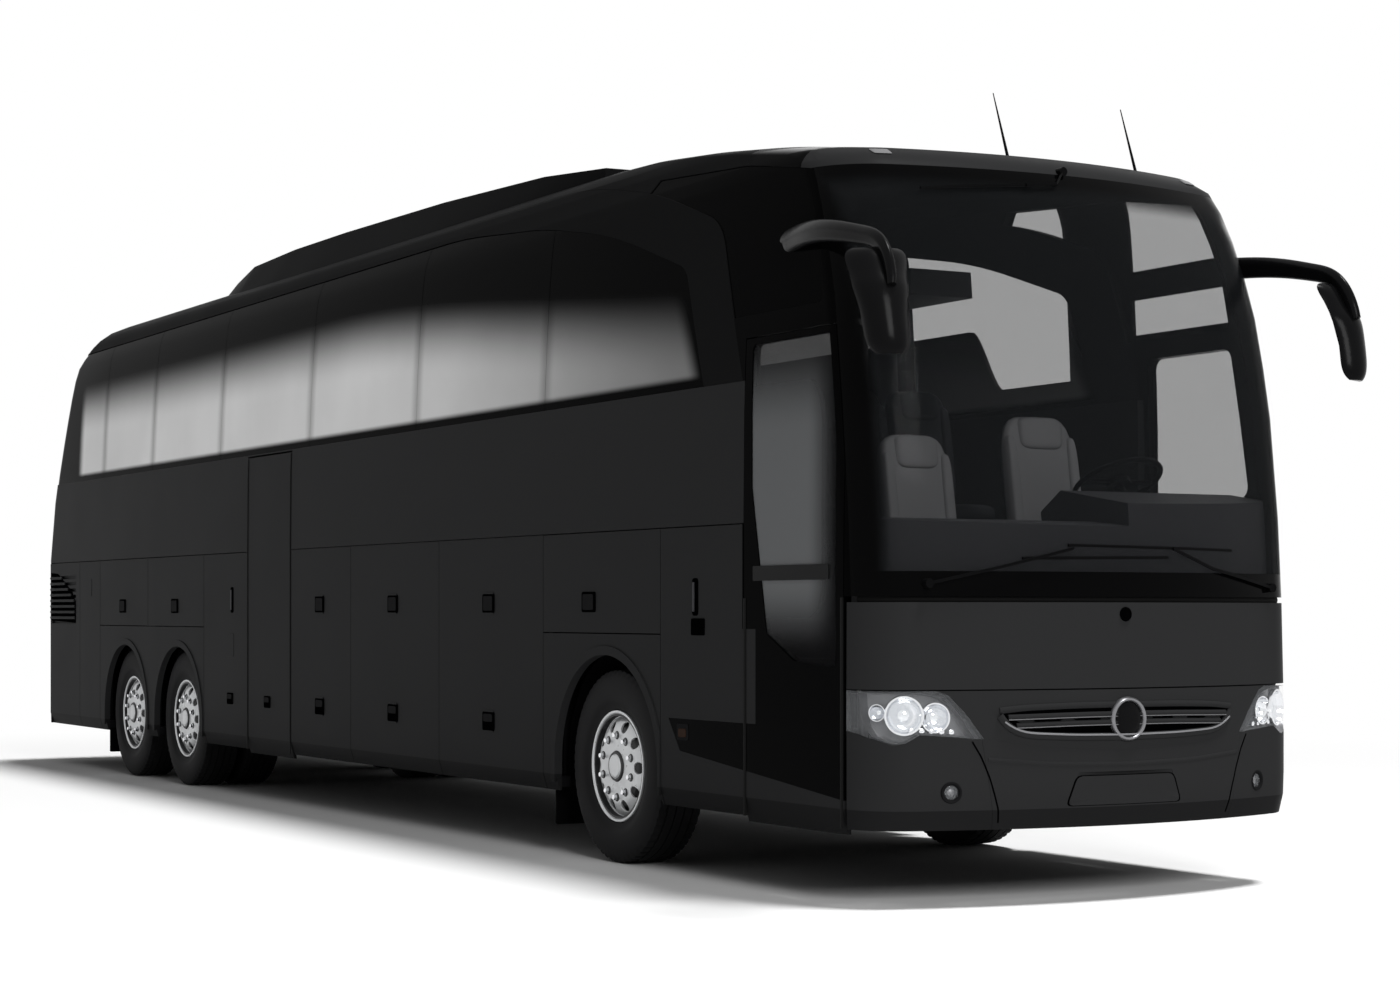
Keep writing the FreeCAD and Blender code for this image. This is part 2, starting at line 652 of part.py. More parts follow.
def lower_skins(sign):
    top = FLAP_TOP_Z - SHUT_GAP / 2
    foot = SKIRT_Z
    drop = SERVICE_FOOT_Z - SHUT_GAP / 2
    rise = SERVICE_FOOT_Z + SHUT_GAP / 2
    pieces = [bay_slab(sign, "door_rear", "cab_rear", foot, top)]
    pieces.append(bay_slab(sign, "cab_rear", "hold_front", rise, top))
    front = fuse([bay_slab(sign, "cab_rear", "hold_front", foot,
                           drop).cut(arch_cut(sign, AXLE_1_Y, FRONT_ARCH_R)),
                  arch_lip(sign, AXLE_1_Y, FRONT_ARCH_R).common(
                      box(0, sign * (HALF + OVERRUN), seam("cab_rear"), seam("hold_front"), SKIRT_Z, drop))])
    pieces += solids(front)
    pieces.append(bay_slab(sign, "stair_rear", "drive_front", foot, top))
    pieces.append(bay_slab(sign, "drive_front", "between", rise, top))
    pieces.append(bay_slab(sign, "between", "tag_rear", rise, top))
    rear = bay_slab(sign, "drive_front", "tag_rear", foot, drop)
    lips = []
    for axle_y in (AXLE_2_Y, AXLE_3_Y):
        lips.append(arch_lip(sign, axle_y, REAR_ARCH_R))
    for axle_y in (AXLE_2_Y, AXLE_3_Y):
        rear = rear.cut(arch_cut(sign, axle_y, REAR_ARCH_R))
        lips = [lip.cut(arch_cut(sign, axle_y, REAR_ARCH_R)) for lip in lips]
    pieces += solids(fuse([rear] + lips))
    pieces.append(bay_slab(sign, "tag_rear", "tail_bay", foot, top))
    tail = bay_slab(sign, "tail_bay", "tail_corner", foot, top)
    pitch = (LOUVRE_TOP_Z - LOUVRE_FOOT_Z) / LOUVRES
    for index in range(LOUVRES):
        z = LOUVRE_FOOT_Z + pitch * index
        tail = tail.cut(box(sign * (HALF - SKIN / 2), sign * (HALF + OVERRUN), along(LOUVRE_SHARE),
                            seam("tail_corner") - LIP, z, z + pitch / 2))
    pieces.append(tail)
    if sign > 0:
        pieces.append(bay_slab(sign, "stair_front", "stair_rear", foot, top))
        pieces.append(bay_slab(sign, "door_front", "door_rear", foot, top))
    return pieces


def belt_walls(sign):
    """The plain wall between the flaps and the glass, interrupted by the middle door."""
    whole = ring(0, WALL, True).common(box(sign * FRAME_IN / 2, sign * (HALF + OVERRUN),
                                           seam("door_rear") + SHUT_GAP / 2,
                                          seam("tail_corner"), FLAP_TOP_Z + SHUT_GAP / 2, BELT_Z))
    if sign < 0:
        whole = whole.cut(door_prism(sign, "stair_front", "stair_rear", DOOR_FOOT_Z,
                                     MIDDLE_DOOR_HEAD_Z + SHUT_GAP, 0))
    return solids(whole)


def flap(sign, first, last):
    """A luggage flap with its two raised latches and the bead that it turns on."""
    top = FLAP_TOP_Z - SHUT_GAP / 2
    body = bay_slab(sign, first, last, SKIRT_Z, top, SKIN - SEAT_GAP)
    ends = (seam(first) + SHUT_GAP / 2, seam(last) - SHUT_GAP / 2)
    bead = Part.makeCylinder(BEAD_R, ends[1] - ends[0], V(sign * HALF, ends[0], top), V(0, 1, 0))
    middle = (seam(first) + seam(last)) / 2
    latches = [box(sign * (HALF - SHEET), sign * (HALF + SHEET), middle - LATCH, middle + LATCH, z - LATCH,
                   z + LATCH)
               for z in (LATCH_LOW_Z, LATCH_HIGH_Z)]
    return fuse([body, bead] + latches)


BEAD_R = 2.5
LATCH_LOW_Z = 712.0
LATCH_HIGH_Z = 1403.0


def side_frame(sign):
    """Two rails and the posts between them behind the skins, and the posts between the side windows."""
    x0, x1 = sign * FRAME_IN, sign * SKIN_IN
    foot, top = SKIRT_Z + FRAME_LIFT, FLAP_TOP_Z
    width = POST_W
    first = seam("door_front") + OVERRUN if sign > 0 else seam("door_rear")
    last = seam("tail_corner")
    bars = [box(x0, x1, first, last, top - width, top + SHUT_GAP / 2),
            box(x0, x1, first, last, foot, foot + POST)]
    low, high = foot + POST + SEAT_GAP, top - width - SEAT_GAP
    starts = [seam(name) - width / 2 for name in (
        "cab_rear", "hold_front", "hold_1", "hold_2", "stair_front", "stair_rear", "drive_front", "between",
                                                  "tag_rear",
        "tail_bay")]
    starts += [seam("door_rear"), last - width]
    if sign > 0:
        starts.append(first)
    bars += [box(x0, x1, y, y + width, low, high) for y in starts]
    cuts = [arch_cut(sign, AXLE_1_Y, FRONT_ARCH_R + SHEET), arch_cut(sign, AXLE_2_Y, REAR_ARCH_R + SHEET),
            arch_cut(sign, AXLE_3_Y, REAR_ARCH_R + SHEET)]
    if sign < 0:
        cuts.append(box(0, -HALF - OVERRUN, seam("stair_front") - SHUT_GAP, seam("stair_rear") + SHUT_GAP, 0,
                        ROOF_Z))
    frame = [solid for piece in bars for solid in solids(piece.cut(cuts))]
    posts = []
    shell = ring(GLASS_RECESS + GLASS, WALL, True)
    window = window_prism(sign)
    for share in PANE_SHARES:
        y = along(share)
        post = shell.common(box(0, sign * (HALF + OVERRUN), y - width / 2, y + width / 2, BELT_Z,
                                WINDOW_TOP_Z))
        posts += solids(post.common(window))
    return frame + posts


# Tail: wall, glass, engine lid, bumper and lamps
LID_HALF = 900.0
LID_FOOT_Z = 860.0
LID_TOP_Z = 1810.0
REAR_GLASS_HALF = 880.0
REAR_GLASS_FOOT_Z = 2560.0
REAR_GLASS_TOP_Z = 3300.0
REAR_GLASS_TAPER = 0.84
REAR_GLASS_R = 120.0
TAIL_LAMP_IN_X = 1010.0
TAIL_LAMP_OUT_X = 1190.0
TAIL_LAMP_FOOT_Z = 900.0
TAIL_LAMP_TOP_Z = 1560.0
TAIL_SKIN = 45.0
LID_SLOTS = 6
HINGE_X = 500.0
HINGE_W = 30.0
HINGE_R = 13.0
HINGE_PIN_R = 8.0
HINGE_GAP = 3.0
HINGE_OUT = HINGE_REACH - HINGE_R
LID_SLOT_HALF = 620.0
LID_SLOT_FOOT_Z = 1340.0
LID_SLOT_TOP_Z = 1700.0


def lid_hinges():
    """Barrels on the lid, and the pins and ears that hold them on the wall above."""
    y, z = TAIL_Y + HINGE_OUT, LID_TOP_Z - SHUT_GAP / 2
    barrels, ears = [], []
    for s in (-1, 1):
        x0, x1 = s * (HINGE_X - HINGE_W), s * (HINGE_X + HINGE_W)
        block = box(x0, x1, y - SKIN, y, z - SKIN, z - SHUT_GAP)
        barrel = fuse([cylinder_x(x0, x1, HINGE_R, y, z), block])
        barrels.append(barrel.cut(cylinder_x(x0, x1, HINGE_PIN_R + PIN_GAP, y, z)))
        ears.append(cylinder_x(s * (HINGE_X - HINGE_W * 2), s * (HINGE_X + HINGE_W * 2), HINGE_PIN_R, y, z))
        for x in (HINGE_X - HINGE_W * 2, HINGE_X + HINGE_W + HINGE_GAP):
            wide = HINGE_W - HINGE_GAP
            ears.append(cylinder_x(s * x, s * (x + wide), HINGE_R, y, z))
            ears.append(box(s * x, s * (x + wide), y - SKIN, y, z + SHUT_GAP, z + SKIN))
    return barrels, ears


def tail():
    wide = HALF + OVERRUN
    y0, y1 = seam("tail_corner"), TAIL_Y + OVERRUN
    behind = rear_prism()
    low = ring(0, TAIL_SKIN, False).common(behind)
    high = ring(0, TAIL_SKIN, True).common(behind)
    shell = low.fuse(high)
    lid_hole = box(-LID_HALF, LID_HALF, AXLE_3_Y, y1, LID_FOOT_Z, LID_TOP_Z)
    lid_prism = box(-LID_HALF + SHUT_GAP, LID_HALF - SHUT_GAP, AXLE_3_Y + REAR_ARCH_R * 2, y1,
                    LID_FOOT_Z + MOVE_GAP,
                    LID_TOP_Z - SHUT_GAP)
    narrow = REAR_GLASS_HALF * REAR_GLASS_TAPER
    corners = [(-REAR_GLASS_HALF, REAR_GLASS_FOOT_Z), (REAR_GLASS_HALF, REAR_GLASS_FOOT_Z),
               (narrow, REAR_GLASS_TOP_Z),
               (-narrow, REAR_GLASS_TOP_Z)]
    glass_prism = front_prism(corners, REAR_GLASS_R, AXLE_3_Y, y1)
    lamps = [box(s * TAIL_LAMP_IN_X, s * TAIL_LAMP_OUT_X, AXLE_3_Y, y1, TAIL_LAMP_FOOT_Z, TAIL_LAMP_TOP_Z)
             for s in (-1, 1)]
    lamp_solids = [solid for prism in lamps for solid in solids(shell.common(prism))]
    lid = shell.common(lid_prism)
    barrels, hinges = lid_hinges()
    pitch = (LID_SLOT_TOP_Z - LID_SLOT_FOOT_Z) / LID_SLOTS
    for index in range(LID_SLOTS):
        z = LID_SLOT_FOOT_Z + pitch * index
        lid = lid.cut(box(-LID_SLOT_HALF, LID_SLOT_HALF, TAIL_Y - TAIL_SKIN / 2, y1, z, z + pitch / 2))
    lid = fuse([lid] + barrels)
    glass = ring(GLASS_RECESS, GLASS_RECESS + GLASS, True).common(glass_prism)
    wall = fuse([shell.cut([lid_hole, glass_prism] + lamps)] + hinges)
    bumper = wall.common(box(-wide, wide, y0, y1, SKIRT_Z, LID_FOOT_Z))
    wall = wall.common(box(-wide, wide, AXLE_3_Y, y1, LID_FOOT_Z, ROOF_Z))
    emit("rear_wall", solids(wall))
    emit("rear_bumper", solids(bumper))
    emit("rear_glass", solids(glass))
    emit("engine_lid", solids(lid))
    emit("tail_lamps", lamp_solids)


# Frame and floors
RAIL_X = 430.0
RAIL_W = 80.0
RAIL_FOOT_Z = 640.0
RAIL_H = 160.0
HORN_HALF = 20.0
TUBE = 55.0
GRID_PITCHES = 6
FLOOR_T = 60.0
STAIR_X = 500.0
STEP_T = 40.0
WELL_WALL = 25.0
STEP_FOOT_Z = SKIRT_Z + STEP_T * 2
STEPS = 3
CAB_REAR_SHARE = -0.1793
CAB_FRONT = 330.0
REAR_RAIL_END = 560.0
BULKHEAD_IN = 200.0
BULKHEAD_HALF = 900.0
BULKHEAD_REACH = 1040.0
EAR_REACH = 23.0


def ladder(y0, y1, members):
    """Two rails and the cross members that sit between them."""
    inner, outer, top = RAIL_X - RAIL_W / 2, RAIL_X + RAIL_W / 2, RAIL_FOOT_Z + RAIL_H
    rails = [box(s * inner, s * outer, y0, y1, RAIL_FOOT_Z, top) for s in (-1, 1)]
    return rails, [box(SEAT_GAP - inner, inner - SEAT_GAP, y, y + RAIL_W, RAIL_FOOT_Z, top) for y in members]


def hold_grid(y0, y1):
    """The low grid of tubes that carries the hold's floor between two bulkheads."""
    foot = SKIRT_Z + FRAME_LIFT
    pitch = (y1 - y0 - TUBE) / GRID_PITCHES
    tubes = [box(-FRAME_IN, FRAME_IN, y0 + pitch * index, y0 + pitch * index + TUBE, foot, foot + TUBE)
             for index in range(GRID_PITCHES + 1)]
    for s in (-1, 1):
        tubes.append(box(s * (RAIL_X - RAIL_W / 2), s * (RAIL_X + RAIL_W / 2), y0, y1, foot, foot + TUBE))
    return fuse(tubes)


def underframe():
    """Ladder frames at the front and the rear, and bulkheads with a low grid between them."""
    foot = SKIRT_Z + FRAME_LIFT
    hold0, hold1, stair1 = seam("hold_front"), seam("stair_front"), seam("stair_rear")
    front_end = NOSE_Y + CAB_FRONT
    rails, members = ladder(front_end, hold0 - POST - SEAT_GAP,
                            (front_end, AXLE_1_Y - FRONT_ARCH_R - RAIL_W * 2))
    for index, s in enumerate((-1, 1)):
        horn = box(s * (RAIL_X - HORN_HALF), s * (RAIL_X + HORN_HALF), NOSE_Y, front_end + RAIL_W,
                   RAIL_FOOT_Z,
                   RAIL_FOOT_Z + RAIL_H)
        rails[index] = fuse([rails[index], horn.common(form(NOSE_SKIN + SEAT_GAP, False))])
    rear_rails, rear_members = ladder(stair1 + POST + SEAT_GAP, TAIL_Y - REAR_RAIL_END,
                                      (AXLE_2_Y + TANDEM / 2 - RAIL_W / 2,))
    bulkheads = [box(-FRAME_IN, FRAME_IN, y, y + POST, foot, SALOON_FLOOR_Z - FLOOR_T)
                 for y in (hold0 - POST, hold1 - POST, stair1)]
    links = [box(s * (RAIL_X - RAIL_W / 2), s * (RAIL_X + RAIL_W / 2), hold1 + SEAT_GAP, stair1 - SEAT_GAP,
                 foot, foot + TUBE)
             for s in (-1, 1)]
    grid = hold_grid(hold0 + SEAT_GAP, hold1 - POST - SEAT_GAP)
    return rails + members + rear_rails + rear_members + bulkheads + links + [grid]


def step_top(top, index):
    """Height of a step counted outwards from the floor it leads up to."""
    return top - (top - STEP_FOOT_Z) / (STEPS + 1) * (index + 1)


def stairs(first, last, top):
    """The inner wall of a stairwell and its solid steps, rising inwards from the doorway."""
    wall = box(-STAIR_X, -STAIR_X + WELL_WALL, first, last, SKIRT_Z + STEP_T, top - FLOOR_T - SEAT_GAP)
    depth = (FRAME_IN - STAIR_X) / STEPS
    steps = [box(-STAIR_X - depth * index - SEAT_GAP, -STAIR_X - depth * (index + 1), first, last,
                 STEP_FOOT_Z - STEP_T,
                 step_top(top, index)) for index in range(STEPS)]
    return [wall] + steps


def boards(y0, well0, well1, y1, low, high):
    """A floor in three boards, the middle one short of the stairwell."""
    return [box(-FRAME_IN, FRAME_IN, y0, well0 - SEAT_GAP, low, high),
            box(-STAIR_X, FRAME_IN, well0, well1, low, high),
            box(-FRAME_IN, FRAME_IN, well1 + SEAT_GAP, y1, low, high)]


def saloon_floor():
    """The floor, the riser at its front edge and the middle stairs."""
    y0, y1 = along(CAB_REAR_SHARE), seam("tail_corner") - WALL
    low = SALOON_FLOOR_Z - FLOOR_T
    well0, well1 = seam("stair_front"), seam("stair_rear")
    riser = box(-FRAME_IN, FRAME_IN, y0, y0 + STEP_T, CAB_FLOOR_Z - FLOOR_T, low - SEAT_GAP)
    return boards(y0, well0, well1, y1, low, SALOON_FLOOR_Z) + [riser] + stairs(well0, well1, SALOON_FLOOR_Z)


def front_bulkhead():
    """A curved sheet behind the service panel, with ears that hold the shaft of the panel's links."""
    back = form(BULKHEAD_IN + PLATE, False)
    sheet = form(BULKHEAD_IN, False).common(
        box(-BULKHEAD_HALF, BULKHEAD_HALF, NOSE_Y, NOSE_Y + BULKHEAD_REACH, CAB_FLOOR_Z - FLOOR_T,
            SCREEN_FOOT_Z))
    shaft_y, shaft_z = NOSE_Y + LINK_BACK, LINK_FOOT_Z + LINK_L
    ears = []
    for s in (-1, 1):
        x = s * BULKHEAD_EAR_X
        ear = box(x, x + s * PLATE, shaft_y - EAR_REACH, NOSE_Y + CAB_FRONT, shaft_z - LINK_W,
                  shaft_z + LINK_W)
        ears.append(ear.cut([cylinder_x(-HALF, HALF, LINK_PIN_R * 2 + PIN_GAP, shaft_y, shaft_z), back]))
    return fuse([sheet.cut(back)] + ears)


def cab_floor():
    """The lower floor beside the driver, the entry stairs and the bulkhead ahead of them."""
    well0, well1 = seam("door_front") + STEP_T, seam("door_rear") - STEP_T
    inside = form(BULKHEAD_IN + PLATE + SEAT_GAP, False)
    plates = [board.common(inside) for board in boards(NOSE_Y, well0, well1, along(CAB_REAR_SHARE),
                                                       CAB_FLOOR_Z - FLOOR_T, CAB_FLOOR_Z)]
    return plates + stairs(well0, well1, CAB_FLOOR_Z) + [front_bulkhead()]


def liner(sign, axle_y, radius, inner):
    """A sheet arch over a wheel, closed on its inner side above the axle."""
    outer = cylinder_x(sign * inner, sign * FRAME_IN, radius + SHEET, axle_y, TYRE_R)
    outer = outer.fuse(box(sign * inner, sign * FRAME_IN, axle_y - radius - SHEET, axle_y + radius + SHEET,
                           SKIRT_Z + POST, TYRE_R))
    hollow = cylinder_x(sign * (inner + SHEET), sign * FRAME_IN, radius, axle_y, TYRE_R)
    hollow = hollow.fuse(box(sign * inner, sign * FRAME_IN, axle_y - radius, axle_y + radius, 0, TYRE_R))
    window = box(sign * inner, sign * (inner + SHEET), axle_y - radius, axle_y + radius, 0,
                 RAIL_FOOT_Z + RAIL_H)
    below = box(0, sign * HALF, axle_y - radius * 2, axle_y + radius * 2, -TYRE_R, SKIRT_Z + POST)
    return outer.cut([hollow, window, below])


LINER_IN = 520.0
FRONT_LINER_R = 630.0


def wheel_arches():
    pieces = []
    for sign in (-1, 1):
        pieces += solids(liner(sign, AXLE_1_Y, FRONT_LINER_R, LINER_IN))
        pair = [liner(sign, AXLE_2_Y, REAR_ARCH_R + SHEET, LINER_IN),
                liner(sign, AXLE_3_Y, REAR_ARCH_R + SHEET, LINER_IN)]
        pieces += [solid for arch in pair for solid in solids(arch)]
    return pieces


# Axles, knuckles and wheels
BEAM_H = 90.0
BEAM_W = 100.0
EYE_R = 45.0
EYE_H = 190.0
EAR_T = 50.0
EAR_GAP = 8.0
KNUCKLE_W = 140.0
KNUCKLE_X = 982.0
KNUCKLE_T = 30.0
PIN_GAP = 0.3
AXLE_TUBE_R = 80.0
DIFF_R = 210.0
DIFF_W = 260.0
SADDLE = 120.0


def front_axle():
    """A dropped beam with an eye and a kingpin at each end, and saddles up to the rails."""
    beam = box(-KINGPIN_X, KINGPIN_X, AXLE_1_Y - BEAM_W / 2, AXLE_1_Y + BEAM_W / 2, TYRE_R - BEAM_H, TYRE_R)
    parts = [beam]
    for s in (-1, 1):
        parts.append(cylinder_z(s * KINGPIN_X, AXLE_1_Y, TYRE_R - EYE_H / 2, TYRE_R + EYE_H / 2, EYE_R))
        parts.append(cylinder_z(s * KINGPIN_X, AXLE_1_Y, TYRE_R - EYE_H / 2 - EAR_T,
                                TYRE_R + EYE_H / 2 + EAR_T, KINGPIN_R))
        parts.append(box(s * (RAIL_X - RAIL_W / 2), s * (RAIL_X + RAIL_W / 2), AXLE_1_Y - BEAM_W / 2,
                         AXLE_1_Y + BEAM_W / 2,
                         TYRE_R, RAIL_FOOT_Z))
    return fuse(parts)


def knuckle(sign):
    """A fork round the kingpin with the stub axle on its outer side."""
    x = sign * KINGPIN_X
    low, high = TYRE_R - EYE_H / 2 - EAR_GAP, TYRE_R + EYE_H / 2 + EAR_GAP
    outer = sign * (KNUCKLE_X + KNUCKLE_T)
    upright = box(sign * KNUCKLE_X, outer, AXLE_1_Y - KNUCKLE_W / 2, AXLE_1_Y + KNUCKLE_W / 2, low - EAR_T,
                  high + EAR_T)
    parts = [upright]
    for z in (low - EAR_T, high):
        parts.append(box(x, outer, AXLE_1_Y - EYE_R, AXLE_1_Y + EYE_R, z, z + EAR_T))
        parts.append(cylinder_z(x, AXLE_1_Y, z, z + EAR_T, EYE_R))
    parts.append(cylinder_x(outer, sign * (TRACK_X + RIM_HALF_W / 2), STUB_R, AXLE_1_Y, TYRE_R))
    body = fuse(parts)
    return body.cut(cylinder_z(x, AXLE_1_Y, 0, TYRE_R * 2, KINGPIN_R + PIN_GAP))


def rear_axles():
    pieces = []
    for axle_y, driven in ((AXLE_2_Y, True), (AXLE_3_Y, False)):
        reach = TRACK_X - TWIN_PITCH - RIM_HALF_W if driven else KINGPIN_X
        parts = [cylinder_x(-reach, reach, AXLE_TUBE_R, axle_y, TYRE_R),
                 cylinder_x(-TRACK_X - RIM_HALF_W / 2, TRACK_X + RIM_HALF_W / 2, STUB_R, axle_y, TYRE_R)]
        if driven:
            parts.append(cylinder_x(-DIFF_W / 2, DIFF_W / 2, DIFF_R, axle_y, TYRE_R))
        for s in (-1, 1):
            parts.append(box(s * (RAIL_X - RAIL_W / 2), s * (RAIL_X + RAIL_W / 2), axle_y - SADDLE / 2,
                             axle_y + SADDLE / 2,
                             TYRE_R, RAIL_FOOT_Z))
        pieces.append(fuse(parts))
    return pieces


def turned(points, sign, centre_x, axle_y):
    """A closed profile of distance from the wheel's middle and radius, turned about the axle."""
    wire = Part.makePolygon([V(centre_x + sign * x, axle_y, TYRE_R + r) for x, r in points + points[:1]])
    return Part.Face(wire).revolve(V(0, axle_y, TYRE_R), V(1, 0, 0), FULL_TURN)


TYRE_LIFT = 3.0
TYRE_SHARES = ((-0.86, 0.0), (-1.0, 0.30), (-1.0, 0.56), (-0.90, 0.86), (-0.76, 0.97), (-0.45, 1.0),
               (0.45, 1.0),
               (0.76, 0.97), (0.90, 0.86), (1.0, 0.56), (1.0, 0.30), (0.86, 0.0))


def tyre(sign, centre_x, axle_y):
    foot = RIM_R + TYRE_LIFT
    wall = TYRE_R - foot
    points = [(TYRE_HALF_W * x, foot + wall * r) for x, r in TYRE_SHARES]
    bead = RIM_HALF_W - RIM_T - PIN_GAP
    points += [(bead, foot), (bead, SEAT_R + PIN_GAP), (-bead, SEAT_R + PIN_GAP), (-bead, foot)]
    return turned(points, sign, centre_x, axle_y)


RIM_T = 12.0
DISH_R = 215.0
DISH_IN_R = 250.0
DISH_FOOT_X = 66.55
DISH_SHOULDER_X = 54.45
HUB_WEB_X = 36.3
WEB_X = 93.2
WEB_FOOT_X = 30.25
TWIN_DISH_X = 72.6
TWIN_BACK_X = 48.4


def rim(sign, centre_x, axle_y, hub_in):
    """Rim, outward dish and hub in one turned piece, bored for the stub axle."""
    w, t = RIM_HALF_W, RIM_T
    inner = SEAT_R - t
    face = HUB_FACE
    points = [(-w, RIM_R), (-w + t, RIM_R), (-w + t, SEAT_R), (w - t, SEAT_R), (w - t, RIM_R), (w, RIM_R),
              (w, inner),
              (DISH_FOOT_X, inner), (DISH_SHOULDER_X, DISH_IN_R), (face - t, DISH_R), (face, DISH_R - t * 2),
              (face, CAP_R + t),
              (face + CAP_REACH, CAP_R), (face + CAP_REACH, 0), (RIM_HALF_W / 2 + 1, 0),
              (RIM_HALF_W / 2 + 1, STUB_R + PIN_GAP),
              (hub_in, STUB_R + PIN_GAP), (hub_in, HUB_R), (HUB_WEB_X, HUB_R), (WEB_X, DISH_R - t * 2),
              (WEB_FOOT_X, DISH_IN_R - t), (WEB_FOOT_X, inner), (-w, inner)]
    return turned(points, sign, centre_x, axle_y)


def inner_rim(sign, centre_x, axle_y, outer_x):
    """The inner twin's rim, dished towards the outer one and carried on the same hub."""
    w, t = RIM_HALF_W, RIM_T
    inner = SEAT_R - t
    reach = sign * (outer_x - centre_x) - RIM_HALF_W
    points = [(-w, RIM_R), (-w + t, RIM_R), (-w + t, SEAT_R), (w - t, SEAT_R), (w - t, RIM_R), (w, RIM_R),
              (w, inner),
              (TWIN_DISH_X, inner), (TWIN_DISH_X, DISH_IN_R), (w, HUB_R), (reach, HUB_R),
              (reach, STUB_R + PIN_GAP),
              (TWIN_BACK_X, STUB_R + PIN_GAP), (TWIN_BACK_X, inner), (-w, inner)]
    return turned(points, sign, centre_x, axle_y)


def wheels():
    for sign, side in ((-1, "right"), (1, "left")):
        centre = sign * TRACK_X
        twin = sign * (TRACK_X - TWIN_PITCH)
        hub_in = KNUCKLE_X + KNUCKLE_T + EAR_GAP - TRACK_X
        tag_in = KINGPIN_X + EAR_GAP - TRACK_X
        emit("front_tyre_" + side, tyre(sign, centre, AXLE_1_Y))
        emit("front_rim_" + side, rim(sign, centre, AXLE_1_Y, hub_in))
        emit("drive_tyres_" + side, [tyre(sign, centre, AXLE_2_Y), tyre(sign, twin, AXLE_2_Y)])
        pair = [rim(sign, centre, AXLE_2_Y, -RIM_HALF_W), inner_rim(sign, twin, AXLE_2_Y, centre)]
        emit("drive_rims_" + side, fuse(pair))
        emit("tag_tyre_" + side, tyre(sign, centre, AXLE_3_Y))
        emit("tag_rim_" + side, rim(sign, centre, AXLE_3_Y, tag_in))


# Doors
COLUMN_R = 24.0
COLUMN_X = 1110.0
COLUMN_INSET = 95.0
ARM_R = 15.0
ARM_L = 450.0
ARM_SAG = 140.0
ARM_HEIGHTS = {True: (720.0, 2250.0), False: (870.0, 2050.0)}
BRACKET_W = 60.0
RAIL_PROUD = 12.0
DOOR_EDGE = 30.0
DOOR_T = 45.0
DOOR_GLASS_SHARES = ((0.075, 0.985), (0.925, 0.985), (0.915, 0.69), (0.76, 0.39), (0.48, 0.335),
                     (0.075, 0.325))
DOOR_GLASS_R = 35.0


def door_places(front):
    """Y of the column by the doorway's edge and of the pins on the leaf."""
    if front:
        column = seam("door_front") + COLUMN_INSET
        return column, column + ARM_L
    column = seam("stair_rear") - COLUMN_INSET
    return column, column - ARM_L


def door_arm(front, foot, head):
    """The turning column by the doorway's edge, with two curved arms out to the leaf."""
    column, pin = door_places(front)
    x = -COLUMN_X
    parts = [cylinder_z(x, column, foot, head, COLUMN_R)]
    for z in ARM_HEIGHTS[front]:
        arc = Part.Arc(V(x, column, z), V(x + ARM_SAG, (column + pin) / 2, z), V(x, pin, z)).toShape()
        start = arc.tangentAt(arc.FirstParameter)
        section = Part.Wire(Part.makeCircle(ARM_R, V(x, column, z), start))
        parts.append(Part.Wire(arc).makePipeShell([section], True, True))
        parts.append(cylinder_z(x, pin, z - BRACKET_W / 2, z + BRACKET_W, ARM_R))
    return fuse(parts)


def brackets(pin, heights):
    """Ears on the leaf's inner face that hold the arms' pins."""
    ears = []
    for z in heights:
        low = z + BRACKET_W / 2
        ear = box(-COLUMN_X + ARM_R * 2, -(HALF - SHEET), pin - ARM_R * 2, pin + ARM_R * 2, low,
                  low + ARM_R * 2)
        ears.append(ear.cut(cylinder_z(-COLUMN_X, pin, low, low + WALL, ARM_R + PIN_GAP)))
    return ears


def front_door():
    leaf_prism = door_prism(-1, "door_front", "door_rear", DOOR_FOOT_Z, DOOR_HEAD_Z, SHUT_GAP)
    low = slab(-1, seam("door_front") + SHUT_GAP, seam("door_rear") - SHUT_GAP, DOOR_FOOT_Z, SCREEN_FOOT_Z,
               DOOR_T)
    high = ring(0, DOOR_T, True).common(leaf_prism)
    y0, y1 = seam("door_front"), seam("door_rear")
    height = DOOR_HEAD_Z - DOOR_FOOT_Z
    points = [(y0 + (y1 - y0) * y, DOOR_FOOT_Z + height * z) for y, z in DOOR_GLASS_SHARES]
    hole = side_prism(-1, points, DOOR_GLASS_R).cut(screen_prism(PILLAR))
    pin = door_places(True)[1]
    leaf = fuse([low, high]).cut([hole, screen_prism(SHUT_GAP)])
    low_pane = ring(GLASS_RECESS, GLASS_RECESS + GLASS, False).common(hole)
    high_pane = ring(GLASS_RECESS, GLASS_RECESS + GLASS, True).common(hole)
    glass = fuse([low_pane, high_pane])
    bars = []
    for z, ear in zip(ARM_HEIGHTS[True], brackets(pin, ARM_HEIGHTS[True])):
        rail = box(-HALF, -HALF + DOOR_T + RAIL_PROUD, seam("door_front") + DOOR_EDGE,
                   seam("door_rear") - DOOR_EDGE,
                   z, z + BRACKET_W * 2)
        inside = form(GLASS_RECESS + GLASS + SEAT_GAP, z > SCREEN_FOOT_Z)
        bars += [rail.common(inside), ear.common(inside)]
    leaf = fuse([leaf] + bars)
    emit("front_door", solids(leaf))
    emit("front_door_glass", solids(glass))
    emit("front_door_arm", door_arm(True, step_top(CAB_FLOOR_Z, STEPS - 1) + SEAT_GAP,
                                    DOOR_HEAD_Z - SHUT_GAP))


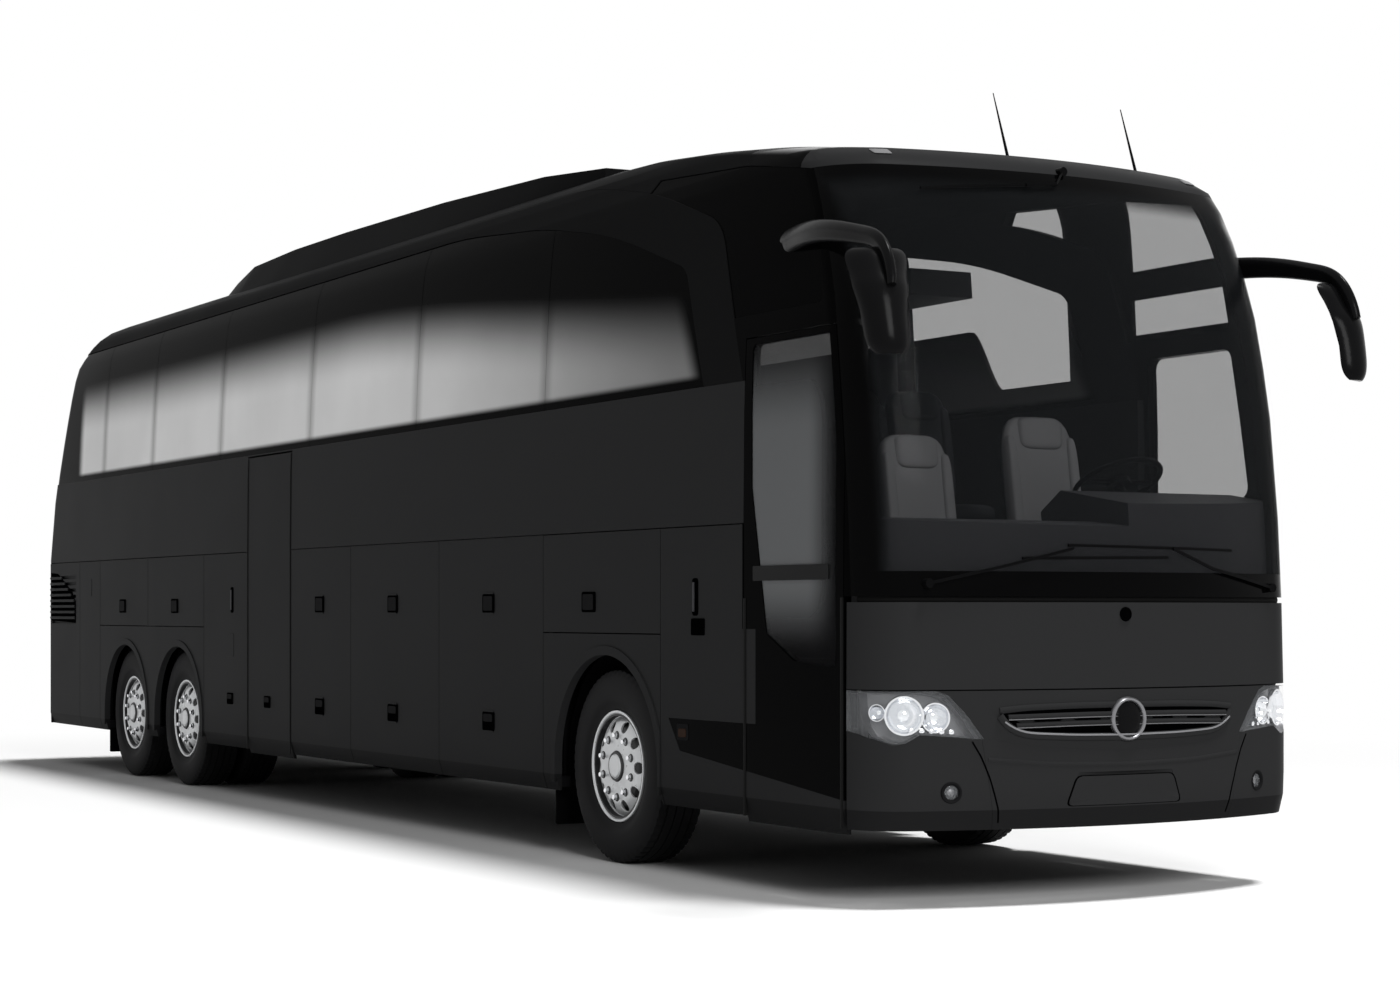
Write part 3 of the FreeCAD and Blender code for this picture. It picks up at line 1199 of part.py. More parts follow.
def middle_door():
    leaf_prism = door_prism(-1, "stair_front", "stair_rear", DOOR_FOOT_Z, MIDDLE_DOOR_HEAD_Z, SHUT_GAP)
    low = slab(-1, seam("stair_front") + SHUT_GAP, seam("stair_rear") - SHUT_GAP, DOOR_FOOT_Z, SCREEN_FOOT_Z,
               DOOR_T)
    high = ring(0, DOOR_T, True).common(leaf_prism)
    pin = door_places(False)[1]
    ears = [ear.common(form(SHEET, ear.BoundBox.ZMax > SCREEN_FOOT_Z))
            for ear in brackets(pin, ARM_HEIGHTS[False])]
    emit("middle_door", solids(fuse([low, high] + ears)))
    emit("middle_door_arm", door_arm(False, step_top(SALOON_FLOOR_Z, STEPS - 1) + SEAT_GAP,
                                     MIDDLE_DOOR_HEAD_Z - SHUT_GAP))


# Mirrors, wipers and aerials
# Arm of a mirror: rows of reach, place behind the front axle, height, half width and half height
MIRROR_ARM = (
    (1185.0, -1700.0, 3127.0, 30.0, 62.0), (1290.0, -2080.0, 3125.0, 29.0, 56.0),
              (1334.0, -2381.0, 3097.0, 28.0, 50.0),
    (1340.0, -2641.0, 3045.0, 27.0, 44.0), (1345.0, -2805.0, 2978.0, 26.0, 38.0),
              (1352.0, -2875.0, 2885.0, 25.0, 33.0),
    (1362.0, -2905.0, 2790.0, 22.0, 28.0),
)
# Head of a mirror: rows of height, reach, place behind the front axle, half width and half depth
MIRROR_HEAD = (
    (2487.0, 1368.0, -2915.0, 62.0, 18.0), (2512.0, 1370.0, -2912.0, 86.0, 32.0),
               (2640.0, 1377.0, -2893.0, 106.0, 42.0),
    (2800.0, 1375.0, -2850.0, 128.0, 44.0), (2915.0, 1358.0, -2787.0, 138.0, 38.0),
               (2958.0, 1349.0, -2763.0, 128.0, 30.0),
    (2973.0, 1345.0, -2754.0, 100.0, 16.0),
)
MIRROR_YAW = 24.0
OVAL_POINTS = 8


def bar(points, half_u, half_v):
    """A straight-sided bar lofted through points, its section spanned by two vectors at each."""
    wires = []
    for point, u, v in zip(points, half_u, half_v):
        corners = [point + u + v, point - u + v, point - u - v, point + u - v]
        wires.append(Part.makePolygon(corners + corners[:1]))
    return Part.makeLoft(wires, True, True)


def oval(centre, across, up):
    """A closed smooth wire round a centre, spanned by two vectors."""
    turns = [2 * math.pi * index / OVAL_POINTS for index in range(OVAL_POINTS)]
    curve = Part.BSplineCurve()
    curve.interpolate(Points=[centre + across * math.cos(t) + up * math.sin(t) for t in turns],
                      PeriodicFlag=True)
    return Part.Wire([curve.toShape()])


def mirror_arm(sign):
    """A tapering arm that leaves the side, runs forward and curls down the front of the mirror."""
    places = [V(sign * row[0], AXLE_1_Y + row[1], row[2]) for row in MIRROR_ARM]
    wires = []
    for index, row in enumerate(MIRROR_ARM):
        ahead = places[min(index + 1, len(places) - 1)] - places[max(index - 1, 0)]
        side = V(ahead.y, -ahead.x, 0)
        side.normalize()
        lift = side.cross(ahead)
        lift.normalize()
        wires.append(oval(places[index], side * row[3], lift * row[4]))
    return Part.makeLoft(wires, True, False)


def mirror_head(sign):
    """A housing with a flat glass side turned to the driver and a bulged front."""
    yaw = math.radians(MIRROR_YAW)
    glass_way = V(-sign * math.sin(yaw), math.cos(yaw), 0)
    along_way = V(math.cos(yaw), sign * math.sin(yaw), 0)
    wires = []
    for z, x, y, half, depth in MIRROR_HEAD:
        centre = V(sign * x, AXLE_1_Y + y, z)
        first = centre + glass_way * depth - along_way * half
        last = centre + glass_way * depth + along_way * half
        flat = Part.LineSegment(first, last).toShape()
        bulge = Part.Arc(last, centre - glass_way * depth, first).toShape()
        wires.append(Part.Wire([flat, bulge]))
    return Part.makeLoft(wires, True, False)


def mirrors():
    inside = form(GLASS_RECESS - SEAT_GAP, True)
    return [fuse([mirror_arm(sign), mirror_head(sign)]).cut(inside) for sign in (-1, 1)]


WIPER_STAND = 16.0
WIPER_T = 9.0
ARM_STAND = 24.0
WIPER_W = 14.0
LOWER_WIPERS = (((1030.0, 1472.0), (560.0, 1560.0), (290.0, 1652.0)), ((-320.0, 1662.0), (710.0, 1650.0)),
                ((-1010.0, 1484.0), (-657.0, 1563.0), (-298.0, 1648.0)), ((-560.0, 1600.0), (260.0, 1610.0)))
UPPER_WIPER = (((-40.0, 3470.0), (-110.0, 3400.0), (-290.0, 3380.0)), ((-840.0, 3335.0), (-250.0, 3385.0)))
PIVOT_R = 22.0
WIPER_STEP = 110.0


def wiper_bar(ends, stand):
    """A bar that follows the nose's bow between places on the glass."""
    steps = []
    for (xa, za), (xb, zb) in zip(ends, ends[1:]):
        count = max(1, round(abs(xb - xa) / WIPER_STEP))
        steps += [(xa + (xb - xa) * n / count, za + (zb - za) * n / count) for n in range(count)]
    steps.append(ends[-1])
    places = [V(x, nose_at(x, z) - stand, z) for x, z in steps]
    return bar(places, [V(0, WIPER_T / 2, 0)] * len(places), [V(0, 0, WIPER_W / 2)] * len(places))


def wipers():
    pieces = []
    for arm, blade in ((LOWER_WIPERS[0], LOWER_WIPERS[1]), (LOWER_WIPERS[2], LOWER_WIPERS[3]), UPPER_WIPER):
        x, z = arm[0]
        pivot = Part.makeCylinder(PIVOT_R, WIPER_STAND * 2 + OVERRUN,
                                  V(x, nose_at(x, z) - WIPER_STAND * 2, z), V(0, 1, 0))
        piece = fuse([wiper_bar(arm, ARM_STAND), wiper_bar(blade, WIPER_STAND), pivot])
        pieces.append(piece)
    return [solid for piece in pieces for solid in solids(piece.cut(form(0, True)))]


AERIALS = ((-150.0, -2130.0), (665.0, -2100.0))
AERIAL_H = 430.0
AERIAL_R = 2.5
AERIAL_FOOT_R = 9.0
AERIAL_LEAN = 20.0


def aerials():
    """Two tapered whips that lean back from the roof's front edge."""
    lean = math.radians(AERIAL_LEAN)
    way = V(0, math.sin(lean), math.cos(lean))
    pieces = []
    for x, y in AERIALS:
        whip = Part.makeCone(AERIAL_FOOT_R, AERIAL_R, AERIAL_H, V(x, AXLE_1_Y + y, SCREEN_HEAD_Z + OVERRUN),
                             way)
        pieces += solids(whip.cut(form(0, True)))
    return pieces


# Inside
DASH_TOP_Z = 1950.0
DASH_DEPTH = 640.0
DASH_LOW_DEPTH = 420.0
DASH_FOOT_DEPTH = 736.0
DASH_FACE_DEPTH = 800.0
DASH_LOW_DROP = 160.0
DASH_SPLIT_X = 96.0
BOSS_R = 63.0
BOSS_DEPTH = 21.0
COLUMN_L = 250.0
WHEEL_R = 225.0
WHEEL_TUBE_R = 14.0
WHEEL_X = 620.0
WHEEL_Y = -1985.0
WHEEL_Z = 2010.0
WHEEL_TILT = 28.0
SEAT_W = 450.0
SEAT_PITCH = 815.0
SEAT_FIRST = -330.0
SEAT_ROWS = 13
SEAT_BASE_H = 300.0
CUSHION_T = 130.0
SEAT_D = 440.0
BACK_LEAN = 132.0
BACK_TOP_T = 99.0
BACK_FOOT_T = 121.0
BACK_H = 1130.0
AISLE_HALF = 240.0
STAIR_CLEAR = 704.0
RACK_IN_X = 700.0
RACK_Z = 3180.0
RACK_H = 150.0
ENGINE_HALF = 390.0
ENGINE_FOOT_Z = 430.0
ENGINE_TOP_Z = 1290.0
ENGINE_L = 1150.0


def dashboard():
    """A deep console for the driver and a shallow shelf across to the door."""
    inner = form(NOSE_SKIN * 2, True)
    y0 = NOSE_Y
    low = CAB_FLOOR_Z
    deep = cross_prism([(y0, SCREEN_FOOT_Z), (y0 + DASH_FOOT_DEPTH, SCREEN_FOOT_Z),
                        (y0 + DASH_FACE_DEPTH, DASH_TOP_Z - WALL),
                        (y0 + DASH_DEPTH, DASH_TOP_Z), (y0, DASH_TOP_Z - WALL)], 0, DASH_SPLIT_X, FRAME_IN)
    shelf = cross_prism([(y0, SCREEN_FOOT_Z), (y0 + DASH_LOW_DEPTH, SCREEN_FOOT_Z),
                         (y0 + DASH_LOW_DEPTH, DASH_TOP_Z - DASH_LOW_DROP),
                         (y0, DASH_TOP_Z - WALL * 2)], 0, -FRAME_IN, DASH_SPLIT_X)
    top = fuse([deep.common(inner), shelf.common(inner)])
    base = form(BULKHEAD_IN + PLATE + SEAT_GAP, False).common(
        box(-STAIR_X, FRAME_IN, NOSE_Y, NOSE_Y + DASH_LOW_DEPTH, low, SCREEN_FOOT_Z))
    return fuse([top, base])


def steering_wheel():
    centre = V(WHEEL_X, AXLE_1_Y + WHEEL_Y, WHEEL_Z)
    tilt = math.radians(WHEEL_TILT)
    axis = V(0, math.sin(tilt), math.cos(tilt))
    hoop = Part.makeTorus(WHEEL_R, WHEEL_TUBE_R, centre, axis)
    boss = Part.makeCylinder(BOSS_R, WHEEL_TUBE_R * 2, centre - axis * BOSS_DEPTH, axis)
    column = Part.makeCylinder(WHEEL_TUBE_R * 2, COLUMN_L, centre - axis * COLUMN_L, axis)
    spoke = box(-WHEEL_R, WHEEL_R, -WHEEL_TUBE_R, WHEEL_TUBE_R, -WHEEL_TUBE_R / 2, WHEEL_TUBE_R / 2)
    spoke.Placement = FreeCAD.Placement(centre, FreeCAD.Rotation(V(0, 0, 1), axis))
    whole = fuse([hoop, boss, column, spoke]).cut(dashboard())
    return max(whole.Solids, key=lambda solid: solid.Volume)


def seat(x0, x1, y, floor, height):
    """A cushion on a plinth with a slightly leaned back; y is the cushion's front edge."""
    cushion_z = floor + SEAT_BASE_H
    profile = [(y, cushion_z), (y, cushion_z + CUSHION_T), (y + SEAT_D, cushion_z + CUSHION_T),
               (y + SEAT_D + BACK_LEAN, floor + height),
               (y + SEAT_D + BACK_LEAN + BACK_TOP_T, floor + height),
               (y + SEAT_D + BACK_FOOT_T, cushion_z)]
    body = cross_prism(profile, 0, x0, x1)
    middle = (x0 + x1) / 2
    plinth = box(middle - WALL, middle + WALL, y + WALL, y + SEAT_D - WALL, floor, cushion_z)
    return fuse([body, plinth])


def passenger_seats():
    pieces = []
    for row in range(SEAT_ROWS):
        y = AXLE_1_Y + SEAT_FIRST + SEAT_PITCH * row
        for sign in (-1, 1):
            over_stairs = sign < 0 and seam("stair_front") - STAIR_CLEAR < y < seam("stair_rear")
            if over_stairs:
                continue
            inner, outer = sign * AISLE_HALF, sign * (AISLE_HALF + SEAT_W * 2)
            pieces.append(seat(min(inner, outer), max(inner, outer), y, SALOON_FLOOR_Z, BACK_H))
    return pieces


CREW_BACK_H = 1290.0
DRIVER_Y = -1882.0
DRIVER_X = 640.0
DRIVER_HALF = 247.5
GUIDE_X = -230.0
GUIDE_Y = -1988.0
GUIDE_BACK_H = 1161.0


def crew_seats():
    driver = seat(DRIVER_X - DRIVER_HALF, DRIVER_X + DRIVER_HALF, AXLE_1_Y + DRIVER_Y, CAB_FLOOR_Z,
                  CREW_BACK_H)
    guide = seat(GUIDE_X - SEAT_W / 2, GUIDE_X + SEAT_W / 2, AXLE_1_Y + GUIDE_Y, CAB_FLOOR_Z, GUIDE_BACK_H)
    return [driver, guide]


def luggage_racks():
    pieces = []
    y0, y1 = AXLE_1_Y, along(TAIL_HEAD_SHARE) - WALL
    for sign in (-1, 1):
        body = cross_prism([(y0, RACK_Z), (y1, RACK_Z), (y1, RACK_Z + RACK_H), (y0, RACK_Z + RACK_H)], 0,
                           sign * RACK_IN_X, sign * HALF)
        pieces += solids(body.common(form(WALL, True)))
    return pieces


def engine():
    y1 = TAIL_Y - TAIL_SKIN - WALL * 2
    return box(-ENGINE_HALF, ENGINE_HALF, y1 - ENGINE_L, y1, ENGINE_FOOT_Z, ENGINE_TOP_Z)


def hold_floor():
    y0, y1 = seam("hold_front"), seam("stair_front") - POST
    return box(-FRAME_IN, FRAME_IN, y0, y1, HOLD_FLOOR_Z - PLATE, HOLD_FLOOR_Z)


def main():
    os.makedirs("parts", exist_ok=True)
    emit("underframe", underframe())
    emit("floors", saloon_floor() + [hold_floor()])
    emit("cab_floor", cab_floor())
    emit("wheel_arches", wheel_arches())
    emit("side_frames", side_frame(-1) + side_frame(1))
    emit("side_skins", lower_skins(-1) + lower_skins(1))
    emit("belt_walls", belt_walls(-1) + belt_walls(1))
    quarters_and_coves()
    emit("windscreen", solids(windscreen()))
    emit("screen_surround", solids(mask()))
    emit("roof", solids(roof()))
    emit("roof_fairing", solids(fairing()))
    lower_nose()
    emit("front_flap_links", flap_links())
    tail()
    for sign, side in ((-1, "right"), (1, "left")):
        for number, (first, last) in enumerate(FLAP_BAYS, 1):
            emit("flap_" + side + "_" + str(number), flap(sign, first, last))
    front_door()
    middle_door()
    emit("axles", [front_axle()] + rear_axles())
    for sign, side in ((-1, "right"), (1, "left")):
        emit("knuckle_" + side, knuckle(sign))
    wheels()
    emit("mirrors", mirrors())
    emit("wipers", wipers())
    emit("aerials", aerials())
    emit("dashboard", dashboard())
    emit("steering_wheel", steering_wheel())
    emit("seats", crew_seats() + passenger_seats())
    emit("luggage_racks", luggage_racks())
    emit("engine", engine())


if __name__ == "__main__":
    main()
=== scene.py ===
import json
import math

import bmesh
import bpy
import numpy as np
from bpy.props import FloatProperty, FloatVectorProperty, IntProperty, PointerProperty
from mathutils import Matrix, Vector


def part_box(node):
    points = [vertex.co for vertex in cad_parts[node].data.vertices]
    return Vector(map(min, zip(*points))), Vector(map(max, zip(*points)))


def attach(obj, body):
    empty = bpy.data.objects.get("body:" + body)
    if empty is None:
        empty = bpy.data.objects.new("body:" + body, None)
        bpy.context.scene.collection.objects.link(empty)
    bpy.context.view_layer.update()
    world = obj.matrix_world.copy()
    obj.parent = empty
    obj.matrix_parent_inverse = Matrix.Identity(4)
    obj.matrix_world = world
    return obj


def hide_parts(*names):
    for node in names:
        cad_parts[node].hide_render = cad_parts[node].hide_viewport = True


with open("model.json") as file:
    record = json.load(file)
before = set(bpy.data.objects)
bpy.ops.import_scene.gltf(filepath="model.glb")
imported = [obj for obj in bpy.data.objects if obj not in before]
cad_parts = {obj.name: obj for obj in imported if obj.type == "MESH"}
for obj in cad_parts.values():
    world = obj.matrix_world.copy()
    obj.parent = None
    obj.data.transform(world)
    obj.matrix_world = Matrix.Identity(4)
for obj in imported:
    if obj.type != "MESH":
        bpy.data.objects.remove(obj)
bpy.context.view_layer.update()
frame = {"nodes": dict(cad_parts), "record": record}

bl_info = {
    "name": "Touring coach",
    "version": (1, 0, 0),
    "blender": (4, 5, 0),
    "location": "3D View > Sidebar > Coach",
    "description": "Dresses the packed touring coach: paint, glazing, wheels, lamps, trim and seats",
    "category": "Object",
}

NODES = frame["nodes"]
BODIES = frame["record"]["behaviour"]["bodies"]
SKIN_BODY = {node: body for body, members in BODIES.items() for node in members}

# Places in metres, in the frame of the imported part
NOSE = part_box("bumper_centre")[0].y
AXLE_1 = NOSE + 2.84
AXLE_2 = AXLE_1 + 7.25
AXLE_3 = AXLE_2 + 1.35
TAIL = NOSE + 13.99
HALF = 1.275
HUB_Z = 0.522
TRACK = 1.075
TWIN = 0.34
DOOR_REAR = AXLE_1 - 1.47
CAB_FLOOR_Z = 1.12
SALOON_FLOOR_Z = 1.54
SIDES = ((-1, "right"), (1, "left"))

# Height, lean of the side, rake of the nose, corner radius
PROFILE = np.array([
    (0.357, 0.0, 0.035, 0.3), (0.45, 0.0, 0.005, 0.3), (0.56, 0.0, 0.0, 0.3),
    (0.9, 0.0, 0.0, 0.3),
    (1.425, 0.0, 0.017, 0.3), (1.82, 0.0, 0.042, 0.3), (2.32, 0.004, 0.096, 0.3),
    (2.571, 0.0112, 0.1385, 0.306), (2.83, 0.022, 0.192, 0.312), (3.033, 0.033, 0.256, 0.321),
    (3.23, 0.046, 0.333, 0.33), (3.38, 0.0592, 0.406, 0.345), (3.485, 0.0728, 0.475, 0.369),
    (3.555, 0.092, 0.59, 0.429), (3.6, 0.11, 0.86, 0.459)])
BOW_R = 3.24
# Distance from the middle and set-back of the tail
TAIL_CURVE = np.array([(0.0, 0.0), (0.3, 0.005), (0.6, 0.02), (0.9, 0.045), (1.02, 0.058), (1.06, 0.067),
                       (1.1, 0.082), (1.14, 0.104), (1.18, 0.136), (1.2, 0.156)])
SLOPE_STEP = 0.001


def side_x(z):
    """Half width of the body at a height."""
    return HALF - np.interp(z, PROFILE[:, 0], PROFILE[:, 1])


def nose_y(x, z):
    """The nose's surface: a wide bow between two round corners, set back by the rake at each height."""
    x, z = np.broadcast_arrays(np.abs(np.asarray(x, float)), np.asarray(z, float))
    front = NOSE + np.interp(z, PROFILE[:, 0], PROFILE[:, 2])
    radius = np.interp(z, PROFILE[:, 0], PROFILE[:, 3])
    centre_x = side_x(z) - radius
    centre_y = front + BOW_R - np.sqrt((BOW_R - radius) ** 2 - centre_x ** 2)
    bowed = front + BOW_R - np.sqrt(BOW_R ** 2 - np.minimum(x, HALF) ** 2)
    rounded = centre_y - np.sqrt(np.maximum(radius ** 2 - (x - centre_x) ** 2, 0))
    return np.where(x > centre_x * BOW_R / (BOW_R - radius), rounded, bowed)


def on_nose(x, z, lift):
    """A point on the nose, moved outwards by lift along the surface's level normal."""
    slope = (nose_y(x + SLOPE_STEP, z) - nose_y(x - SLOPE_STEP, z)) / (2 * SLOPE_STEP)
    length = np.sqrt(1 + slope ** 2)
    return np.stack(np.broadcast_arrays(x + lift * slope / length, nose_y(x, z) - lift / length, z), -1)


def on_side(sign):
    """A map from a place along the side, a height and a lift to a point on the right or left wall."""
    return lambda y, z, lift: np.stack(np.broadcast_arrays(sign * (side_x(z) + lift), y, z), -1)


def on_tail(x, z, lift):
    """A point on the foot of the tail, set back towards its round corners and moved outwards by lift."""
    set_back = np.interp(np.abs(x), TAIL_CURVE[:, 0], TAIL_CURVE[:, 1])
    return np.stack(np.broadcast_arrays(x, TAIL - set_back + lift, z), -1)


def joined(operation):
    """A method that joins a value to another with a Math node."""
    return lambda self, other: self.maths(operation, self, other)


class Value:
    """A shader socket that adds Math nodes when it is used in a sum."""

    def __init__(self, net, socket):
        self.net, self.socket = net, socket

    def maths(self, operation, first, second):
        return self.net.add("ShaderNodeMath", {"operation": operation}, (0, first), (1, second))

    __add__ = __radd__ = joined("ADD")
    __mul__ = __rmul__ = joined("MULTIPLY")
    __sub__ = joined("SUBTRACT")
    __gt__ = joined("GREATER_THAN")
    __lt__ = joined("LESS_THAN")
    __or__ = joined("MAXIMUM")

    def __rsub__(self, other):
        return self.maths("SUBTRACT", other, self)

    def __abs__(self):
        return self.maths("ABSOLUTE", self, 0.0)

    def between(self, low, high):
        """0 at low, 1 at high, and smooth from one to the other."""
        return self.net.add("ShaderNodeMapRange", {"interpolation_type": "SMOOTHSTEP"},
                            ("Value", self), ("From Min", low), ("From Max", high))

    def ranged(self, low, high):
        """low at 0, high at 1, and straight from one to the other."""
        return self * (high - low) + low


class Net:
    """A material's nodes, added by one method."""

    def __init__(self, tree):
        self.tree = tree

    def add(self, kind, settings, *inputs, out=0):
        node = self.tree.nodes.new(kind)
        for key, setting in settings.items():
            setattr(node, key, setting)
        for key, value in inputs:
            self.feed(node.inputs[key], value)
        return Value(self, node.outputs[out])

    def feed(self, socket, value):
        if isinstance(value, Value):
            self.tree.links.new(value.socket, socket)
        elif socket.type == "RGBA":
            socket.default_value = (*value[:3], 1.0)
        else:
            socket.default_value = value

    def place(self):
        """The piece's own coordinates, as a vector and as x, y and z."""
        where = self.add("ShaderNodeTexCoord", {}, out="Object")
        split = self.add("ShaderNodeSeparateXYZ", {}, (0, where)).socket.node
        return where, [Value(self, output) for output in split.outputs]

    def noise(self, where, scale, detail=3.0):
        return self.add("ShaderNodeTexNoise", {}, ("Vector", where), ("Scale", scale), ("Detail", detail))

    def blend(self, share, first, second):
        """One colour turning into another as share goes from 0 to 1."""
        return self.add("ShaderNodeMix", {"data_type": "RGBA"}, (0, share), (6, first), (7, second), out=2)


FINISHES = {}
BLACK = (0.0012, 0.0012, 0.0013)

# Plain finishes: colour, roughness, specular level and metalness
PLAIN = {
    "black_trim": ((0.0026, 0.0026, 0.0028), 0.42, 0.02, 0.0),
    "gloss_black": ((0.0035, 0.0035, 0.0038), 0.22, 0.04, 0.0),
    # Flat black without shine: the black of joints, latch cups, the plate rim and the lock, and painted shade
    # where it fills the grille's mouth, the louvres, slots, step boxes, the arch walls and the nose tray
    "black_and_painted_shade": ((0.0008, 0.0008, 0.0009), 0.6, 0.0, 0.0),
    "frame_black": ((0.004, 0.004, 0.0045), 0.55, 0.05, 0.0),
    "seal_rubber": ((0.002, 0.002, 0.002), 0.8, 0.1, 0.0),
    "lid_grey": ((0.009, 0.009, 0.0095), 0.5, 0.004, 0.0),
    "soft_grey": ((0.028, 0.028, 0.031), 0.62, 0.15, 0.0),
    "lining": ((0.045, 0.045, 0.048), 0.8, 0.2, 0.0),
    "flooring": ((0.02, 0.02, 0.021), 0.7, 0.3, 0.0),
    "light_trim": ((0.1, 0.1, 0.105), 0.4, 0.5, 0.0),
    "engine_paint": ((0.03, 0.03, 0.03), 0.6, 0.5, 0.0),
    "bright_metal": ((0.78, 0.79, 0.81), 0.1, 0.5, 1.0),
    "satin_metal": ((0.22, 0.22, 0.23), 0.3, 0.5, 0.9),
    "dull_metal": ((0.14, 0.14, 0.145), 0.42, 0.5, 0.8),
    "tray_grey": ((0.1, 0.1, 0.105), 0.35, 0.5, 0.5),
    "dark_metal": ((0.012, 0.012, 0.013), 0.5, 0.5, 0.3),
    "mirror_glass": ((0.8, 0.82, 0.84), 0.02, 0.5, 1.0),
    "red_lens": ((0.22, 0.003, 0.003), 0.15, 0.2, 0.0),
    "white_lens": ((0.55, 0.55, 0.55), 0.2, 0.2, 0.0),
    "amber_lens": ((0.5, 0.12, 0.01), 0.12, 0.5, 0.0),
    "dark_amber": ((0.026, 0.013, 0.008), 0.2, 0.01, 0.0)}
GRAIN_DEEP = 0.001
# Finishes with a fine grain: colour, roughness, specular level, and the grain's scale and strength
GRAINED = {
    "tyre_rubber": ((0.009, 0.009, 0.0095), 0.72, 0.08, 160.0, 0.2),
    "seat_weave": ((0.03, 0.031, 0.035), 0.85, 0.2, 300.0, 0.35),
    "crew_weave": ((0.34, 0.34, 0.35), 0.85, 0.2, 300.0, 0.35)}


def finish(name, colour, rough, specular=0.5, metallic=0.0, alpha=1.0):
    """A material with constants on its shader; returns its net and its shader."""
    material = bpy.data.materials.new(name)
    material.use_nodes = True
    net = Net(material.node_tree)
    shader = material.node_tree.nodes["Principled BSDF"]
    for key, value in (("Base Color", colour), ("Roughness", rough), ("Specular IOR Level", specular),
                       ("Metallic", metallic), ("Alpha", alpha)):
        net.feed(shader.inputs[key], value)
    material.diffuse_color = (*colour[:3], 1.0)
    FINISHES[name] = material
    return net, shader


PAINT_ROUGH = 0.36
PAINT_ROUGH_SPAN = (0.33, 0.39)
PAINT_CLOUD_SCALE, PAINT_CLOUD = 1.7, (0.2, 0.9)
GLOSS_DROP = 0.24
SKIRT_TOP_Z = 0.449
SKIRT_SHADE = 0.55
PAINT_SHINE = 0.005
ROOF_SHINE = 0.001
# The roof, cove panels and fairing take the body's paint darkened: painted shade
ROOF_PAINTED_SHADE = 0.42


def painted(name, colour, black_zone=None, shine=PAINT_SHINE):
    """Satin paint with a darker skirt band, and gloss black where black_zone(y, z) is 1."""
    net, shader = finish(name, colour, PAINT_ROUGH, shine)
    where, (x, y, z) = net.place()
    rough = net.noise(where, PAINT_CLOUD_SCALE).between(*PAINT_CLOUD).ranged(*PAINT_ROUGH_SPAN)
    body = net.blend(z < SKIRT_TOP_Z, colour, [c * SKIRT_SHADE for c in colour])
    if black_zone:
        zone = black_zone(y, z)
        body = net.blend(zone, body, BLACK)
        rough = rough - zone * GLOSS_DROP
    net.feed(shader.inputs["Base Color"], body)
    net.feed(shader.inputs["Roughness"], rough)


# The black sweep, as places behind the front axle: slopes of its foot and its tip, and its top
SWEEP_FOOT_SLOPE, SWEEP_FOOT_Z = 0.102, 0.73
SWEEP_TIP_SLOPE, SWEEP_TIP = 0.745, 1.31
SWEEP_TOP_Z = 0.81
# The painted strip at the rear foot of the front door
DOOR_GAP = 0.012
DOOR_STRIP = 0.115
DOOR_STRIP_Z = 1.27
# The surround is black below its header, and higher up behind it
HEADER_Z = 3.455
PILLAR_TOP_Z = 3.62
HEADER_BACK = 0.95


def sweep_zone(y, z):
    """The black sweep from the front arch to the door, and all of the door but its rear strip."""
    along = y - AXLE_1
    low = z > along * SWEEP_FOOT_SLOPE + SWEEP_FOOT_Z
    tip = along < z * SWEEP_TIP_SLOPE - SWEEP_TIP
    door = (y < DOOR_REAR + DOOR_GAP) * (1.0 - (y > DOOR_REAR - DOOR_STRIP) * (z < DOOR_STRIP_Z))
    return low * tip * ((z < SWEEP_TOP_Z) | door)


def surround_zone(y, z):
    """The windscreen's surround and the pillars, up to the header and the top of the quarter glass."""
    return (z < HEADER_Z) | (y > NOSE + HEADER_BACK) * (z < PILLAR_TOP_Z)


# Side glass: seams behind the front axle, how far its painted reflection of the bright studio rises and where
# each of its edges fades
SEAMS = (9.26, 7.93, 6.29, 4.44, 2.6, 0.77, -1.08)
SEAM_FADE = 0.11
SEAM_SHADE = 0.65
PAINTED_REFLECTION = (0.9, 0.9, 0.9)
REFLECTION_RUN = (-2.4, 4.0)
REFLECTION_RISE = 0.4
REFLECTION_DROP = (2.94, 2.48)
REFLECTION_FRONT = 0.12
REFLECTION_FOOT = (2.52, 2.562)
REFLECTION_TAIL = (10.04, 9.86)
REFLECTION_RAKE = 0.46
REFLECTION_HEAD = (-2.2, -2.04)
REFLECTION_CLOUD_SCALE, REFLECTION_CLOUD, REFLECTION_CLOUD_SPAN = 0.9, (0.25, 0.8), (0.88, 1.0)
# Clear parts of the left-hand glass: the saloon's, with its sill, and the cab's between two bars
SALOON_FRONT, SALOON_REAR = -0.8, 3.4
SILL_STEP, SILL_RISE, SILL_Z = (-0.15, 0.15), 0.36, 2.64
CAB_REAR = -1.36
CAB_BARS = (2.73, 2.84, 3.03, 3.18)
SIDE_ALPHA = 0.99
CLEARED = 0.76
# Windscreen: top of its black foot, and where its black head and sides begin
SCREEN_FOOT_Z = 1.54
SCREEN_HEAD = (3.28, 3.42)
SCREEN_SIDES = (1.14, 1.21)
SCREEN_TINT = (0.012, 0.013, 0.014)
SCREEN_ALPHA = (0.29, 0.99)
# Door glass: the foot, head and front edge of its painted reflection
DOOR_TINT = (0.003, 0.003, 0.0034)
DOOR_PAINTED_REFLECTION = (0.14, 0.144, 0.148)
DOOR_REFLECTION_FOOT = (1.15, 1.5)
DOOR_REFLECTION_HEAD = (2.7, 2.2)
DOOR_REFLECTION_FRONT = (0.52, 0.8)
DOOR_ALPHA = (0.72, 0.92)


